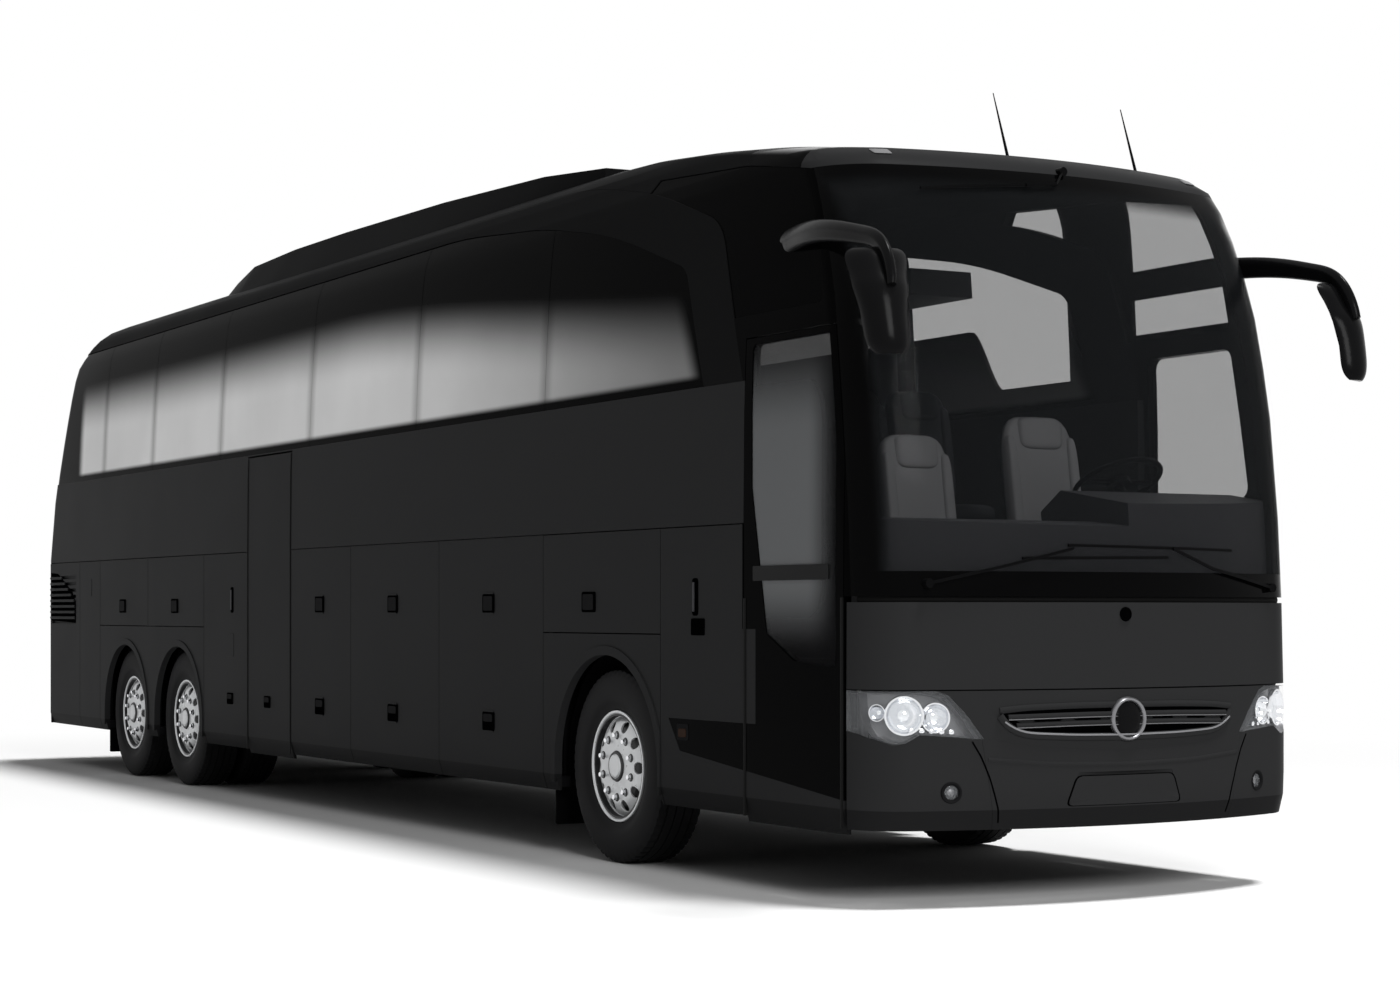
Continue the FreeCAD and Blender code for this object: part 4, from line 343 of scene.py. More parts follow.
def make_side_glazing():
    """Side glass with a painted reflection of the bright studio that grows towards its foot and the tail and
    dims at each seam; the left-hand front panes let light in.
    """
    net, shader = finish("side_glazing", BLACK, 0.05, 0.004)
    where, (x, y, z) = net.place()
    along = y - AXLE_1
    # Painted reflection: the glass turns light grey towards its foot and the tail, dimmed near each seam and
    # varied by a noise
    back = along.between(*REFLECTION_RUN)
    reflection = (z - back * REFLECTION_RISE).between(*REFLECTION_DROP) * back.ranged(REFLECTION_FRONT, 1.0) * z.between(*REFLECTION_FOOT)
    reflection = reflection * along.between(*REFLECTION_TAIL) * (along - z * REFLECTION_RAKE).between(*REFLECTION_HEAD)
    for seam in SEAMS:
        reflection = reflection * abs(along - seam).between(0.0, SEAM_FADE).ranged(SEAM_SHADE, 1.0)
    cloud = net.noise(where, REFLECTION_CLOUD_SCALE).between(*REFLECTION_CLOUD).ranged(*REFLECTION_CLOUD_SPAN)
    net.feed(shader.inputs["Base Color"], net.blend(reflection * cloud, BLACK, PAINTED_REFLECTION))
    sill = along.between(*SILL_STEP) * SILL_RISE + SILL_Z
    saloon = (along > SALOON_FRONT) * (z > sill) * (along < SALOON_REAR)
    low, mid, high, top = CAB_BARS
    cab = (along < CAB_REAR) * ((z < low) | (z > mid) * (z < high) | (z > top))
    net.feed(shader.inputs["Alpha"], SIDE_ALPHA - (x > 0.0) * (saloon | cab) * CLEARED)


def make_front_glazing():
    """A clear windscreen with a black border, and door glass with a painted reflection in its middle."""
    net, shader = finish("screen_glazing", BLACK, 0.03, 0.02)
    where, (x, y, z) = net.place()
    edge = (z < SCREEN_FOOT_Z) | z.between(*SCREEN_HEAD) | abs(x).between(*SCREEN_SIDES)
    net.feed(shader.inputs["Base Color"], net.blend(edge, SCREEN_TINT, BLACK))
    net.feed(shader.inputs["Alpha"], edge.ranged(*SCREEN_ALPHA))
    net, shader = finish("door_glazing", BLACK, 0.04, 0.01)
    where, (x, y, z) = net.place()
    # Painted reflection: the door glass turns light grey in its middle
    reflection = z.between(*DOOR_REFLECTION_FOOT) * z.between(*DOOR_REFLECTION_HEAD) * (y - NOSE).between(*DOOR_REFLECTION_FRONT)
    net.feed(shader.inputs["Base Color"], net.blend(reflection, DOOR_TINT, DOOR_PAINTED_REFLECTION))
    net.feed(shader.inputs["Alpha"], reflection.ranged(*DOOR_ALPHA))


def make_finishes(colour):
    """Every material of the coach, from the colour of its paint."""
    painted("charcoal_paint", colour)
    # Painted shade: the roof's paint is the body colour darkened
    painted("shaded_roof_paint", [c * ROOF_PAINTED_SHADE for c in colour], shine=ROOF_SHINE)
    painted("sweep_paint", colour, sweep_zone)
    painted("surround_paint", colour, surround_zone)
    make_side_glazing()
    make_front_glazing()
    for name, values in PLAIN.items():
        finish(name, *values)
    finish("clear_lens", (0.85, 0.88, 0.92), 0.03, 0.35, alpha=0.06)
    for name, (shade, rough, specular, scale, strength) in GRAINED.items():
        net, shader = finish(name, shade, rough, specular)
        where, parts = net.place()
        grain = net.noise(where, scale, 2.0)
        bump = net.add("ShaderNodeBump", {}, ("Height", grain), ("Strength", strength),
                       ("Distance", GRAIN_DEEP))
        net.feed(shader.inputs["Normal"], bump)
    net, shader = finish("polished_rim", (0.58, 0.59, 0.6), 0.34, metallic=0.45)
    where, parts = net.place()
    net.feed(shader.inputs["Roughness"], net.noise(where, 22.0).between(0.2, 0.8).ranged(0.26, 0.38))


def quads(rows, columns, closed, base):
    """Faces of a grid of points, joined to itself across its columns where it is closed."""
    i = np.arange(rows - 1)[:, None] * columns
    j = np.arange(columns if closed else columns - 1)[None, :]
    on = (j + 1) % columns
    return (np.stack([i + j, i + on, i + columns + on, i + columns + j], -1).reshape(-1, 4) + base).tolist()


def settle(shape, mesh, angle):
    """Gives a mesh its new shape: smooth faces, with the edges that fold by more than angle kept crisp."""
    limit = math.radians(angle)
    for face in shape.faces:
        face.smooth = True
    for edge in shape.edges:
        edge.smooth = len(edge.link_faces) == 2 and edge.calc_face_angle(0) < limit
    shape.to_mesh(mesh)
    shape.free()


# Distances for welding points and for dropping tiny faces
WELD, CAD_WELD, TINY = 1e-5, 2e-5, 1e-6
FLAT = math.radians(0.4)
BEVEL_ANGLE = math.radians(40)
SMALL_BEVEL = 0.004
# Angles in degrees over which a fold stays crisp
TYRE_FOLD, DISC_FOLD, MIRROR_FOLD, SEAT_FOLD = 40.0, 30.0, 40.0, 60.0


def surface(name, grids, material, body, fold=35.0, closed=True):
    """One object from grids of points (rows, columns, 3), each closed round its columns if marked so."""
    points, faces, base = [], [], 0
    for grid, loops in grids:
        rows, columns = grid.shape[:2]
        points.append(grid.reshape(-1, 3))
        faces += quads(rows, columns, loops, base)
        base += rows * columns
    mesh = bpy.data.meshes.new(name)
    mesh.from_pydata(np.concatenate(points).tolist(), [], faces)
    shape = bmesh.new()
    shape.from_mesh(mesh)
    bmesh.ops.remove_doubles(shape, verts=shape.verts, dist=WELD)
    bmesh.ops.dissolve_degenerate(shape, dist=TINY, edges=shape.edges)
    if closed:
        bmesh.ops.recalc_face_normals(shape, faces=shape.faces)
    settle(shape, mesh, fold)
    mesh.materials.append(FINISHES[material])
    piece = bpy.data.objects.new(name, mesh)
    bpy.context.scene.collection.objects.link(piece)
    if body:
        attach(piece, body)
    return piece


def dense(corners, step=0.03):
    """A closed outline with its corners kept and points added between them about a step apart."""
    corners = np.asarray(corners, float)
    runs = zip(corners, np.roll(corners, -1, 0))
    counts = ((a, b, max(2, int(np.hypot(*(b - a)) / step) + 1)) for a, b in runs)
    return np.concatenate([a + (b - a) * np.linspace(0, 1, count)[:-1, None] for a, b, count in counts])


CORNER_SHARE = 0.45


def rounded(corners, radius, turns=4):
    """A closed outline with each corner turned into a quadratic curve within a share of its sides."""
    corners = np.asarray(corners, float)
    back, on = np.roll(corners, 1, 0) - corners, np.roll(corners, -1, 0) - corners
    back *= np.minimum(radius / np.hypot(*back.T), CORNER_SHARE)[:, None]
    on *= np.minimum(radius / np.hypot(*on.T), CORNER_SHARE)[:, None]
    t = np.linspace(0, 1, turns)[None, :, None]
    return (corners[:, None] + back[:, None] * (1 - t) ** 2 + on[:, None] * t ** 2).reshape(-1, 2)


def rectangle(u, v, wide, high, radius=0.012):
    """A rounded rectangle about a middle point."""
    a, b = wide / 2, high / 2
    return rounded([(u - a, v - b), (u + a, v - b), (u + a, v + b), (u - a, v + b)], radius)


def pad(outline, lift, place, edge=0.002, foot=-0.003, rings=3):
    """A plate on a surface: the outline from its foot up, in over its edge, then shrunk to its middle."""
    outline = np.asarray(outline, float)
    middle = (outline.min(0) + outline.max(0)) / 2
    size = np.hypot(*(outline - middle).T).mean()
    inset = 1 - edge / size
    steps = [(1.0, foot), (1.0, lift - edge * np.sign(lift)), (inset, lift)]
    steps += [(inset * (1 - n / rings), lift) for n in range(1, rings + 1)]
    share = np.array(steps)
    spots = middle + (outline - middle) * share[:, 0, None, None]
    return place(spots[..., 0], spots[..., 1], share[:, 1, None] + spots[..., 0] * 0), True


def turned(profile, columns, place, start=0.0):
    """A profile of distance out and radius, turned about an axis: place(d, r cos t, r sin t)."""
    profile = np.asarray(profile, float)
    t = np.arange(columns) * 2 * np.pi / columns - start
    d, r = profile[:, 0, None] + t * 0, profile[:, 1, None]
    return place(d, r * np.cos(t), r * np.sin(t)), True


def facing_front(x, z, back=0.0):
    """A map that sets a turned piece into the nose at x, z, its axis along the surface's normal."""
    origin = on_nose(x, z, -back)
    out = on_nose(x, z, 1.0 - back) - origin
    across = np.array([out[1], -out[0], 0.0])
    up = np.cross(out, across)
    return lambda d, u, v: origin + d[..., None] * out + u[..., None] * across + v[..., None] * up


def tube(path, half_wide, half_high, sides=10, up=(0, 0, 1)):
    """An oval section carried along a path of points, drawn to a point at both ends."""
    path = np.asarray(path, float)
    ahead = np.gradient(path, axis=0)
    ahead /= np.linalg.norm(ahead, axis=1)[:, None]
    wide = np.cross(ahead, np.asarray(up, float))
    wide /= np.linalg.norm(wide, axis=1)[:, None]
    high = np.cross(wide, ahead)
    t = (np.arange(sides) * 2 * np.pi / sides)[None, :, None]
    ring = wide[:, None] * np.cos(t) * half_wide + high[:, None] * np.sin(t) * half_high
    ends = [np.repeat(path[n][None, None], sides, 1) for n in (0, -1)]
    return np.concatenate([ends[0], path[:, None] + ring, ends[1]]), True


ROUNDING_PASSES = 3


def arc_line(points, count):
    """A run along a few points at even steps, each then averaged with its neighbours to round the corners."""
    points = np.asarray(points, float)
    length = np.concatenate([[0], np.cumsum(np.linalg.norm(np.diff(points, axis=0), axis=1))])
    spot = np.linspace(0, length[-1], count)
    line = np.stack([np.interp(spot, length, points[:, k]) for k in range(points.shape[1])], -1)
    for n in range(ROUNDING_PASSES):
        line[1:-1] = (line[:-2] + line[1:-1] * 2 + line[2:]) / 4
    return line


PILLOW_COLUMNS, PILLOW_ROWS = 20, 13


def pillow(centre, half, lean=0.0, power=0.45):
    """A stuffed box: (a C^p(v) C^p(u), b C^p(v) S^p(u), c S^p(v)), leaned back about X."""
    turn = np.arange(PILLOW_COLUMNS) * 2 * np.pi / PILLOW_COLUMNS
    u, v = np.meshgrid(turn, np.linspace(-np.pi / 2, np.pi / 2, PILLOW_ROWS))

    def puffed(wave):
        return np.sign(wave) * np.abs(wave) ** power

    x = half[0] * puffed(np.cos(v)) * puffed(np.cos(u))
    y = half[1] * puffed(np.cos(v)) * puffed(np.sin(u))
    z = half[2] * puffed(np.sin(v))
    return np.stack([centre[0] + x, centre[1] + y + z * math.tan(lean), centre[2] + z], -1), True


def smoothed(node, material, bevel=0.0, angle=28.0):
    """A welded copy of a CAD node, smooth and with small rounded edges, that stands for the node."""
    mesh = NODES[node].data.copy()
    piece = bpy.data.objects.new(node + "_skin", mesh)
    bpy.context.scene.collection.objects.link(piece)
    mesh.materials.clear()
    mesh.materials.append(FINISHES[material])
    shape = bmesh.new()
    shape.from_mesh(mesh)
    bmesh.ops.remove_doubles(shape, verts=shape.verts, dist=CAD_WELD)
    bmesh.ops.dissolve_limit(shape, angle_limit=FLAT, verts=shape.verts, edges=shape.edges)
    settle(shape, mesh, angle)
    if bevel:
        rounding = piece.modifiers.new("rounding", "BEVEL")
        rounding.width, rounding.segments, rounding.limit_method = bevel, 2, "ANGLE"
        rounding.angle_limit, rounding.harden_normals = BEVEL_ANGLE, True
    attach(piece, SKIN_BODY[node])
    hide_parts(node)
    return piece


class CoachColours(bpy.types.PropertyGroup):
    paint: FloatVectorProperty(name="Paint", description="Colour of the painted panels", subtype="COLOR",
                               default=(0.0215, 0.0217, 0.0223), min=0, max=1)
    floor: FloatVectorProperty(name="Floor", description="Colour of the studio floor", subtype="COLOR",
                               default=(0.9, 0.9, 0.9), min=0, max=1)


class CoachSizes(bpy.types.PropertyGroup):
    edge: FloatProperty(name="Panel edge", description="Rounding of the panels' edges", default=0.003, min=0,
                        unit="LENGTH")
    hole: FloatProperty(name="Hand hole", description="Radius of the holes in the wheel discs", default=0.031,
                        min=0, unit="LENGTH")
    holes: IntProperty(name="Hand holes", description="Holes and nuts in each wheel disc", default=10, min=3)


class COACH_OT_finishes(bpy.types.Operator):
    """Make the materials"""
    bl_idname = "coach.finishes"
    bl_label = "Finishes"

    def execute(self, context):
        make_finishes(context.scene.coach_colours.paint)
        return {"FINISHED"}


WHITE = (1.0, 1.0, 1.0)
WORLD_LIGHT = (0.14, 1.0)
FLOOR_HALF, FLOOR_ROUGH = 60.0, 0.9
FLOOR_DROP = 0.0005
FLOOR_FADE = (8.5, 13.0)
# Lamps: name, kind, angle or width, power and the way that they shine
LAMPS = (("sun", "SUN", math.radians(12), 2.95, (-0.2, 0.2, -1.0)),
         ("front", "AREA", 6.0, 1600.0, (4.0, 15.0, -7.0)))
LAMP_AIM = (0.0, NOSE, 1.6)
LENS_MM, SENSOR_MM, LENS_SHIFT, CLIP_END = 67.27, 36.0, 0.0823, 500.0
CAMERA_PLACE = (-7.736, AXLE_1 - 12.5, 1.357)
CAMERA_YAW = math.radians(-29.41)


def studio_world(scene):
    """White where the camera, metal or glass looks, and a softer light for everything else."""
    world = bpy.data.worlds.new("studio")
    scene.world = world
    world.use_nodes = True
    net = Net(world.node_tree)
    rays = net.add("ShaderNodeLightPath", {}).socket.node.outputs
    kinds = ("Camera", "Transmission", "Glossy")
    camera, through, shine = (Value(net, rays[f"Is {kind} Ray"]) for kind in kinds)
    shade = world.node_tree.nodes["Background"]
    net.feed(shade.inputs["Color"], WHITE)
    net.feed(shade.inputs["Strength"], (camera | through | shine).ranged(*WORLD_LIGHT))


def studio_floor(colour):
    """A pale floor that turns to plain white away from the coach."""
    net, shader = finish("studio_floor", colour, FLOOR_ROUGH, 0.0)
    where, parts = net.place()
    reach = net.add("ShaderNodeVectorMath", {"operation": "LENGTH"}, (0, where), out="Value")
    glow = net.add("ShaderNodeEmission", {}, ("Color", WHITE))
    plain = Value(net, shader.outputs[0])
    mix = net.add("ShaderNodeMixShader", {}, (0, reach.between(*FLOOR_FADE)), (1, plain), (2, glow))
    net.feed(net.tree.nodes["Material Output"].inputs[0], mix)
    u, v = np.meshgrid((-FLOOR_HALF, FLOOR_HALF), (-FLOOR_HALF, FLOOR_HALF))
    grid = np.stack([u, v, u * 0 - FLOOR_DROP], -1)
    floor = surface("floor", [(grid, False)], "studio_floor", None, closed=False)


class COACH_OT_stage(bpy.types.Operator):
    """Set the floor, the studio light and the camera"""
    bl_idname = "coach.stage"
    bl_label = "Stage"

    def execute(self, context):
        scene = context.scene
        scene.view_settings.view_transform = "Standard"
        studio_world(scene)
        studio_floor(scene.coach_colours.floor)
        for name, kind, size, power, way in LAMPS:
            lamp = bpy.data.lights.new(name, kind)
            lamp.energy = power
            setattr(lamp, "angle" if kind == "SUN" else "size", size)
            light = bpy.data.objects.new(name, lamp)
            scene.collection.objects.link(light)
            light.location = Vector(LAMP_AIM) - Vector(way)
            light.rotation_euler = Vector(way).to_track_quat("-Z", "Y").to_euler()
        lens = bpy.data.cameras.new("camera")
        lens.lens, lens.sensor_width, lens.shift_y = LENS_MM, SENSOR_MM, LENS_SHIFT
        lens.clip_end = CLIP_END
        camera = bpy.data.objects.new("camera", lens)
        camera.location = CAMERA_PLACE
        camera.rotation_euler = (math.radians(90), 0, CAMERA_YAW)
        scene.collection.objects.link(camera)
        scene.camera = camera
        return {"FINISHED"}


FLAPS = [f"flap_{side}_{n}" for side in ("right", "left") for n in (1, 2, 3)]
# Nodes that get a smooth skin with rounded edges, and nodes that keep their own mesh, by finish
SKINS = {
    "shaded_roof_paint": ("roof", "cove_panels", "roof_fairing"),
    "charcoal_paint": ("belt_walls", "rear_wall", "rear_bumper", "bumper_centre", "bumper_corners",
                       "grille_panel", "front_flap", "engine_lid", "middle_door", *FLAPS),
    "sweep_paint": ("front_door", "side_skins"),
    "surround_paint": ("screen_surround",)}
COATS = {
    "frame_black": ("underframe", "side_frames", "axles", "knuckle_left", "knuckle_right"),
    "flooring": ("floors", "cab_floor"),
    "black_trim": ("wheel_arches", "steering_wheel", "aerials"),
    "dull_metal": ("front_door_arm", "middle_door_arm", "front_flap_links"),
    "engine_paint": ("engine",),
    "lining": ("luggage_racks",)}
DASH_EDGE = 0.02


class COACH_OT_shell(bpy.types.Operator):
    """Dress the painted panels"""
    bl_idname = "coach.shell"
    bl_label = "Shell"

    def execute(self, context):
        for material, nodes in SKINS.items():
            for node in nodes:
                smoothed(node, material, context.scene.coach_sizes.edge)
        for material, nodes in COATS.items():
            for node in nodes:
                NODES[node].data.materials.clear()
                NODES[node].data.materials.append(FINISHES[material])
        smoothed("dashboard", "soft_grey", DASH_EDGE)
        return {"FINISHED"}


class COACH_OT_glazing(bpy.types.Operator):
    """Glaze the side, cab, door and rear windows and the windscreen"""
    bl_idname = "coach.glazing"
    bl_label = "Glazing"

    def execute(self, context):
        for node, material in (("side_glass", "side_glazing"), ("rear_glass", "side_glazing"),
                               ("front_door_glass", "door_glazing"), ("windscreen", "screen_glazing")):
            smoothed(node, material)
        return {"FINISHED"}


# Wheel disc, as distance out from the wheel's middle and radius, and the ring that holds the hand holes
DISC_IN = ((0.15, 0.0), (0.15, 0.05), (0.147, 0.06), (0.14, 0.066), (0.139, 0.078), (0.13, 0.084),
           (0.1275, 0.1), (0.1275, 0.186))
DISC_OUT = ((0.098, 0.254), (0.088, 0.262), (0.084, 0.27), (0.092, 0.276), (0.118, 0.281),
            (0.1275, 0.288), (0.129, 0.295), (0.1275, 0.3), (0.118, 0.301), (0.11, 0.296), (0.1, 0.284),
            (0.08, 0.27))
HOLE_RING_R = 0.22
HOLE_DEPTH = 0.014
HOLE_LIP = 0.002
HOLE_STEPS = 8
# Collar rings, dark as a painted shadow round each nut, and six-sided nuts, as distance out and radius about
# their own middles
NUT_RING_R = 0.1675
SHADOW_COLLAR = ((0.126, 0.0235), (0.1295, 0.0225), (0.1305, 0.0165))
NUT = ((0.129, 0.0155), (0.15, 0.0155), (0.152, 0.013), (0.152, 0.0))


def on_wheel(sign, axle_y, y=0.0, z=0.0):
    """A map from a distance out and a place about a spot on the wheel's face to a point."""
    return lambda d, u, v: np.stack([sign * (TRACK + d), axle_y + y + u, HUB_Z + z + v], -1)


def disc_out(radius):
    """How far out the disc stands at a radius: it falls with the square of the way to the rim."""
    share = np.clip((radius - DISC_IN[-1][1]) / (DISC_OUT[0][1] - DISC_IN[-1][1]), 0, 1)
    return DISC_IN[-1][0] + (DISC_OUT[0][0] - DISC_IN[-1][0]) * share ** 2


def disc_grids(sign, axle_y, count, hole_r):
    """A disc of a ring of sectors with a round hole each, between two turned parts."""
    low, high = DISC_IN[-1][1], DISC_OUT[0][1]
    side = np.linspace(-1, 1, HOLE_STEPS + 1)[:-1]
    one = side * 0 + 1
    walks = ((one, side), (-side, one), (-one, -side), (side, -one))
    box = np.concatenate([np.stack(pair, -1) for pair in walks])
    rim = box * ((high - low) / 2, HOLE_RING_R * np.pi / count)
    way = rim / np.linalg.norm(rim, axis=1)[:, None]
    lip = way * (hole_r + HOLE_LIP)
    shift = np.stack([way * hole_r, way * hole_r, lip, (lip + rim) / 2, rim])
    drop = np.array([-HOLE_DEPTH, -HOLE_LIP, 0.0, 0.0, 0.0])[:, None]
    radius = (low + high) / 2 + shift[..., 0]
    place = on_wheel(sign, axle_y)
    grids = []
    for n in range(count):
        turn = 2 * np.pi * n / count + shift[..., 1] / HOLE_RING_R
        grids.append((place(disc_out(radius) + drop, radius * np.cos(turn), radius * np.sin(turn)), True))
    columns = HOLE_STEPS * count
    return grids + [turned(profile, columns, place, np.pi / count) for profile in (DISC_IN, DISC_OUT)]


def nut_grids(sign, axle_y, count):
    """A ring of collar rings, dark as a painted shadow round each nut, and of six-sided nuts on them."""
    turns = 2 * np.pi * (np.arange(count) + 0.5) / count
    places = [on_wheel(sign, axle_y, NUT_RING_R * np.cos(turn), NUT_RING_R * np.sin(turn)) for turn in turns]
    return [turned(SHADOW_COLLAR, 18, place) for place in places], [turned(NUT, 6, place) for place in places]


# Tyre section: distance from its middle and radius up one side, then the ribs across the tread
TYRE_WALL = ((0.112, 0.3), (0.122, 0.306), (0.126, 0.318), (0.134, 0.345), (0.1395, 0.352), (0.1445, 0.38),
             (0.1462, 0.415), (0.144, 0.45), (0.1385, 0.48), (0.133, 0.5))
TREAD_R = 0.5205
TREAD_HALF = 0.128
CROWN = 0.25
RIBS = 5
RIB_GAP = 0.009
GROOVE = 0.013
SHOULDER = (0.078, 0.495)
BLOCKS, BLOCK_COLUMNS = 60, 4
NOTCH = 0.007


def tyre_section():
    """Section of one tyre, from side wall to side wall over the ribs, with a mark for each shoulder point."""
    wall = np.array(TYRE_WALL)
    edges = np.linspace(-TREAD_HALF, TREAD_HALF, RIBS + 1)
    ribs = []
    for a, b in zip(edges[:-1] + RIB_GAP / 2, edges[1:] - RIB_GAP / 2):
        tops = [(x, TREAD_R - x * x * CROWN) for x in (a, b)]
        ribs += [(a, TREAD_R - GROOVE), *tops, (b, TREAD_R - GROOVE)]
    section = np.concatenate([wall * (-1, 1), ribs[1:-1], wall[::-1]])
    return section, (np.abs(section[:, 0]) > SHOULDER[0]) & (section[:, 1] > SHOULDER[1])


def tyre_grid(centre, axle_y):
    """Radius of the section, less a notch in the shoulder ribs at the first column of each block."""
    section, shoulder = tyre_section()
    column = np.arange(BLOCKS * BLOCK_COLUMNS)
    t = column * 2 * np.pi / len(column)
    radius = section[:, 1, None] - shoulder[:, None] * (column % BLOCK_COLUMNS == 0) * NOTCH
    x = section[:, 0, None] + t * 0
    return np.stack([centre + x, axle_y + radius * np.cos(t), HUB_Z + radius * np.sin(t)], -1), True


class COACH_OT_wheels(bpy.types.Operator):
    """Build the treaded tyres, the pierced wheel discs and their nuts"""
    bl_idname = "coach.wheels"
    bl_label = "Wheels"

    def execute(self, context):
        sizes = context.scene.coach_sizes
        for kind, axle_y in (("front", AXLE_1), ("drive", AXLE_2), ("tag", AXLE_3)):
            for sign, side in SIDES:
                twin = kind == "drive"
                node, rims = (f"{kind}_{part}{'s' if twin else ''}_{side}" for part in ("tyre", "rim"))
                body = SKIN_BODY[node]
                treads = [tyre_grid(sign * x, axle_y) for x in ((TRACK, TRACK - TWIN) if twin else (TRACK,))]
                tyre = surface(f"{kind}_tread_{side}", treads, "tyre_rubber", body, TYRE_FOLD)
                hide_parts(node)
                smoothed(rims, "dark_metal")
                disc = disc_grids(sign, axle_y, sizes.holes, sizes.hole)
                surface(f"{kind}_disc_{side}", disc, "polished_rim", body, DISC_FOLD, closed=False)
                shadow_collars, nuts = nut_grids(sign, axle_y, sizes.holes)
                # Each collar is real, and its dark finish is a painted shadow round its nut
                surface(f"{kind}_collars_{side}", shadow_collars, "dark_metal", body, closed=False)
                surface(f"{kind}_nuts_{side}", nuts, "bright_metal", body)
        return {"FINISHED"}


def both(outline):
    """An outline of one half, mirrored to the right and as it is."""
    outline = np.asarray(outline, float)
    return (outline * (-1, 1), outline)


LAMP_OUTLINE = (
    (1.257, 0.985), (1.255, 0.943), (1.253, 0.889), (1.245, 0.831), (1.225, 0.787), (1.178, 0.761),
    (1.124, 0.752), (1.062, 0.784), (0.997, 0.792), (0.908, 0.787), (0.8, 0.778), (0.83, 0.821),
    (0.865, 0.876), (0.905, 0.93), (0.96, 0.966), (1.04, 0.985), (1.124, 0.988))
TRAY_DROP, TRAY_EDGE = -0.075, 0.012
# Lamp cups: place across, height and radius; their parts, as distance out and share of that radius
CUPS = ((1.115, 0.882, 0.078), (0.975, 0.872, 0.06), (1.215, 0.895, 0.034))
CUP_BACK = 0.016
CUP = ((-0.05, 0.25), (-0.048, 0.5), (-0.03, 0.85), (-0.008, 1.0), (0.0, 1.04), (0.0, 1.14), (-0.02, 1.18))
CUP_LENS = ((-0.052, 0.52), (-0.035, 0.46), (-0.024, 0.3), (-0.02, 0.0))
CUP_RING = ((-0.006, 1.0), (0.002, 1.05), (0.002, 1.16), (-0.008, 1.2))
# The row of beads below the cups: first place, step, set-back and profile
BEADS = 5
BEAD_SPOT, BEAD_STEP, BEAD_BACK = np.array((0.9, 0.806)), np.array((0.045, 0.002)), 0.02
BEAD = ((-0.02, 0.013), (0.0, 0.013), (0.002, 0.009), (0.002, 0.0))
# Fog lamps: place, and piece, profile, columns and finish of each part
FOG_X, FOG_Z = 0.905, 0.532
FOG_PARTS = (
    ("fog_housings", ((-0.03, 0.0), (-0.028, 0.022), (-0.006, 0.034), (0.003, 0.04), (0.004, 0.047),
                      (-0.004, 0.052)), 32, "lid_grey"),
    ("fog_bulbs", ((-0.028, 0.02), (-0.016, 0.017), (-0.012, 0.01), (-0.011, 0.0)), 20, "dull_metal"),
    ("fog_glass", ((-0.006, 0.033), (-0.002, 0.022), (0.0, 0.0)), 28, "clear_lens"))


class COACH_OT_front_lamps(bpy.types.Operator):
    """Build the headlamps behind their covers and the fog lamps"""
    bl_idname = "coach.front_lamps"
    bl_label = "Front lamps"

    def execute(self, context):
        smoothed("front_lamps", "clear_lens")
        body = SKIN_BODY["front_lamps"]
        trays = [pad(dense(outline), TRAY_DROP, on_nose, TRAY_EDGE, 0.0) for outline in both(LAMP_OUTLINE)]
        surface("lamp_trays", trays, "tray_grey", body, closed=False)
        cups, lenses, rings = [], [], []
        for sign in (-1, 1):
            for x, z, radius in CUPS:
                place = facing_front(sign * x, z, CUP_BACK)
                for grids, profile, count in ((cups, CUP, 32), (lenses, CUP_LENS, 24), (rings, CUP_RING, 32)):
                    grids.append(turned(np.array(profile) * (1, radius), count, place))
            for n in range(BEADS):
                x, z = BEAD_SPOT + BEAD_STEP * n
                rings.append(turned(BEAD, 12, facing_front(sign * x, z, BEAD_BACK)))
        surface("lamp_cups", cups, "bright_metal", body, closed=False)
        surface("lamp_rings", rings, "bright_metal", body, closed=False)
        surface("lamp_lenses", lenses, "mirror_glass", body, closed=False)
        for name, profile, columns, material in FOG_PARTS:
            grids = [turned(profile, columns, facing_front(sign * FOG_X, FOG_Z)) for sign in (-1, 1)]
            surface(name, grids, material, body, closed=False)
        return {"FINISHED"}


MOUTH = ((0.0, 0.914), (0.3, 0.912), (0.55, 0.905), (0.68, 0.892), (0.66, 0.855), (0.615, 0.822),
         (0.55, 0.802), (0.3, 0.79), (0.0, 0.786))
# Bars of the grille: move up, lift, half depth and half height
LIP_TOP, LIP_FOOT = (0.01, 0.0, 0.01, 0.015), (-0.012, 0.002, 0.015, 0.018)
LIP_BRIGHT = (-0.003, 0.016, 0.0035, 0.0045)
SLATS = (((0.0, 0.881), (0.3, 0.879), (0.64, 0.872)), ((0.0, 0.843), (0.3, 0.841), (0.6, 0.834)))
SLAT, SLAT_EDGE = (0.0, 0.004, 0.01, 0.0125), (-0.012, 0.01, 0.004, 0.003)
# Dark strips behind the joints of the panels: height, set-back and half height
JOINT_STRIPS = ((1.412, 0.03, 0.02), (0.996, 0.048, 0.011))
JOINT_X, JOINT_DEEP, JOINT_COUNT = (0.0, 1.0, 1.262), 0.012, 96
# Round pieces: height on the nose and profile
ROUND_Z = 0.855
ROUND_RING = ((-0.004, 0.08), (0.014, 0.082), (0.021, 0.088), (0.021, 0.096), (0.012, 0.103), (-0.006, 0.105))
ROUND_DISC = ((0.006, 0.084), (0.012, 0.076), (0.016, 0.045), (0.017, 0.0))
LOCK_Z = 1.343
LOCK = ((-0.003, 0.034), (0.006, 0.033), (0.009, 0.028), (0.005, 0.024), (0.007, 0.01), (0.004, 0.0))
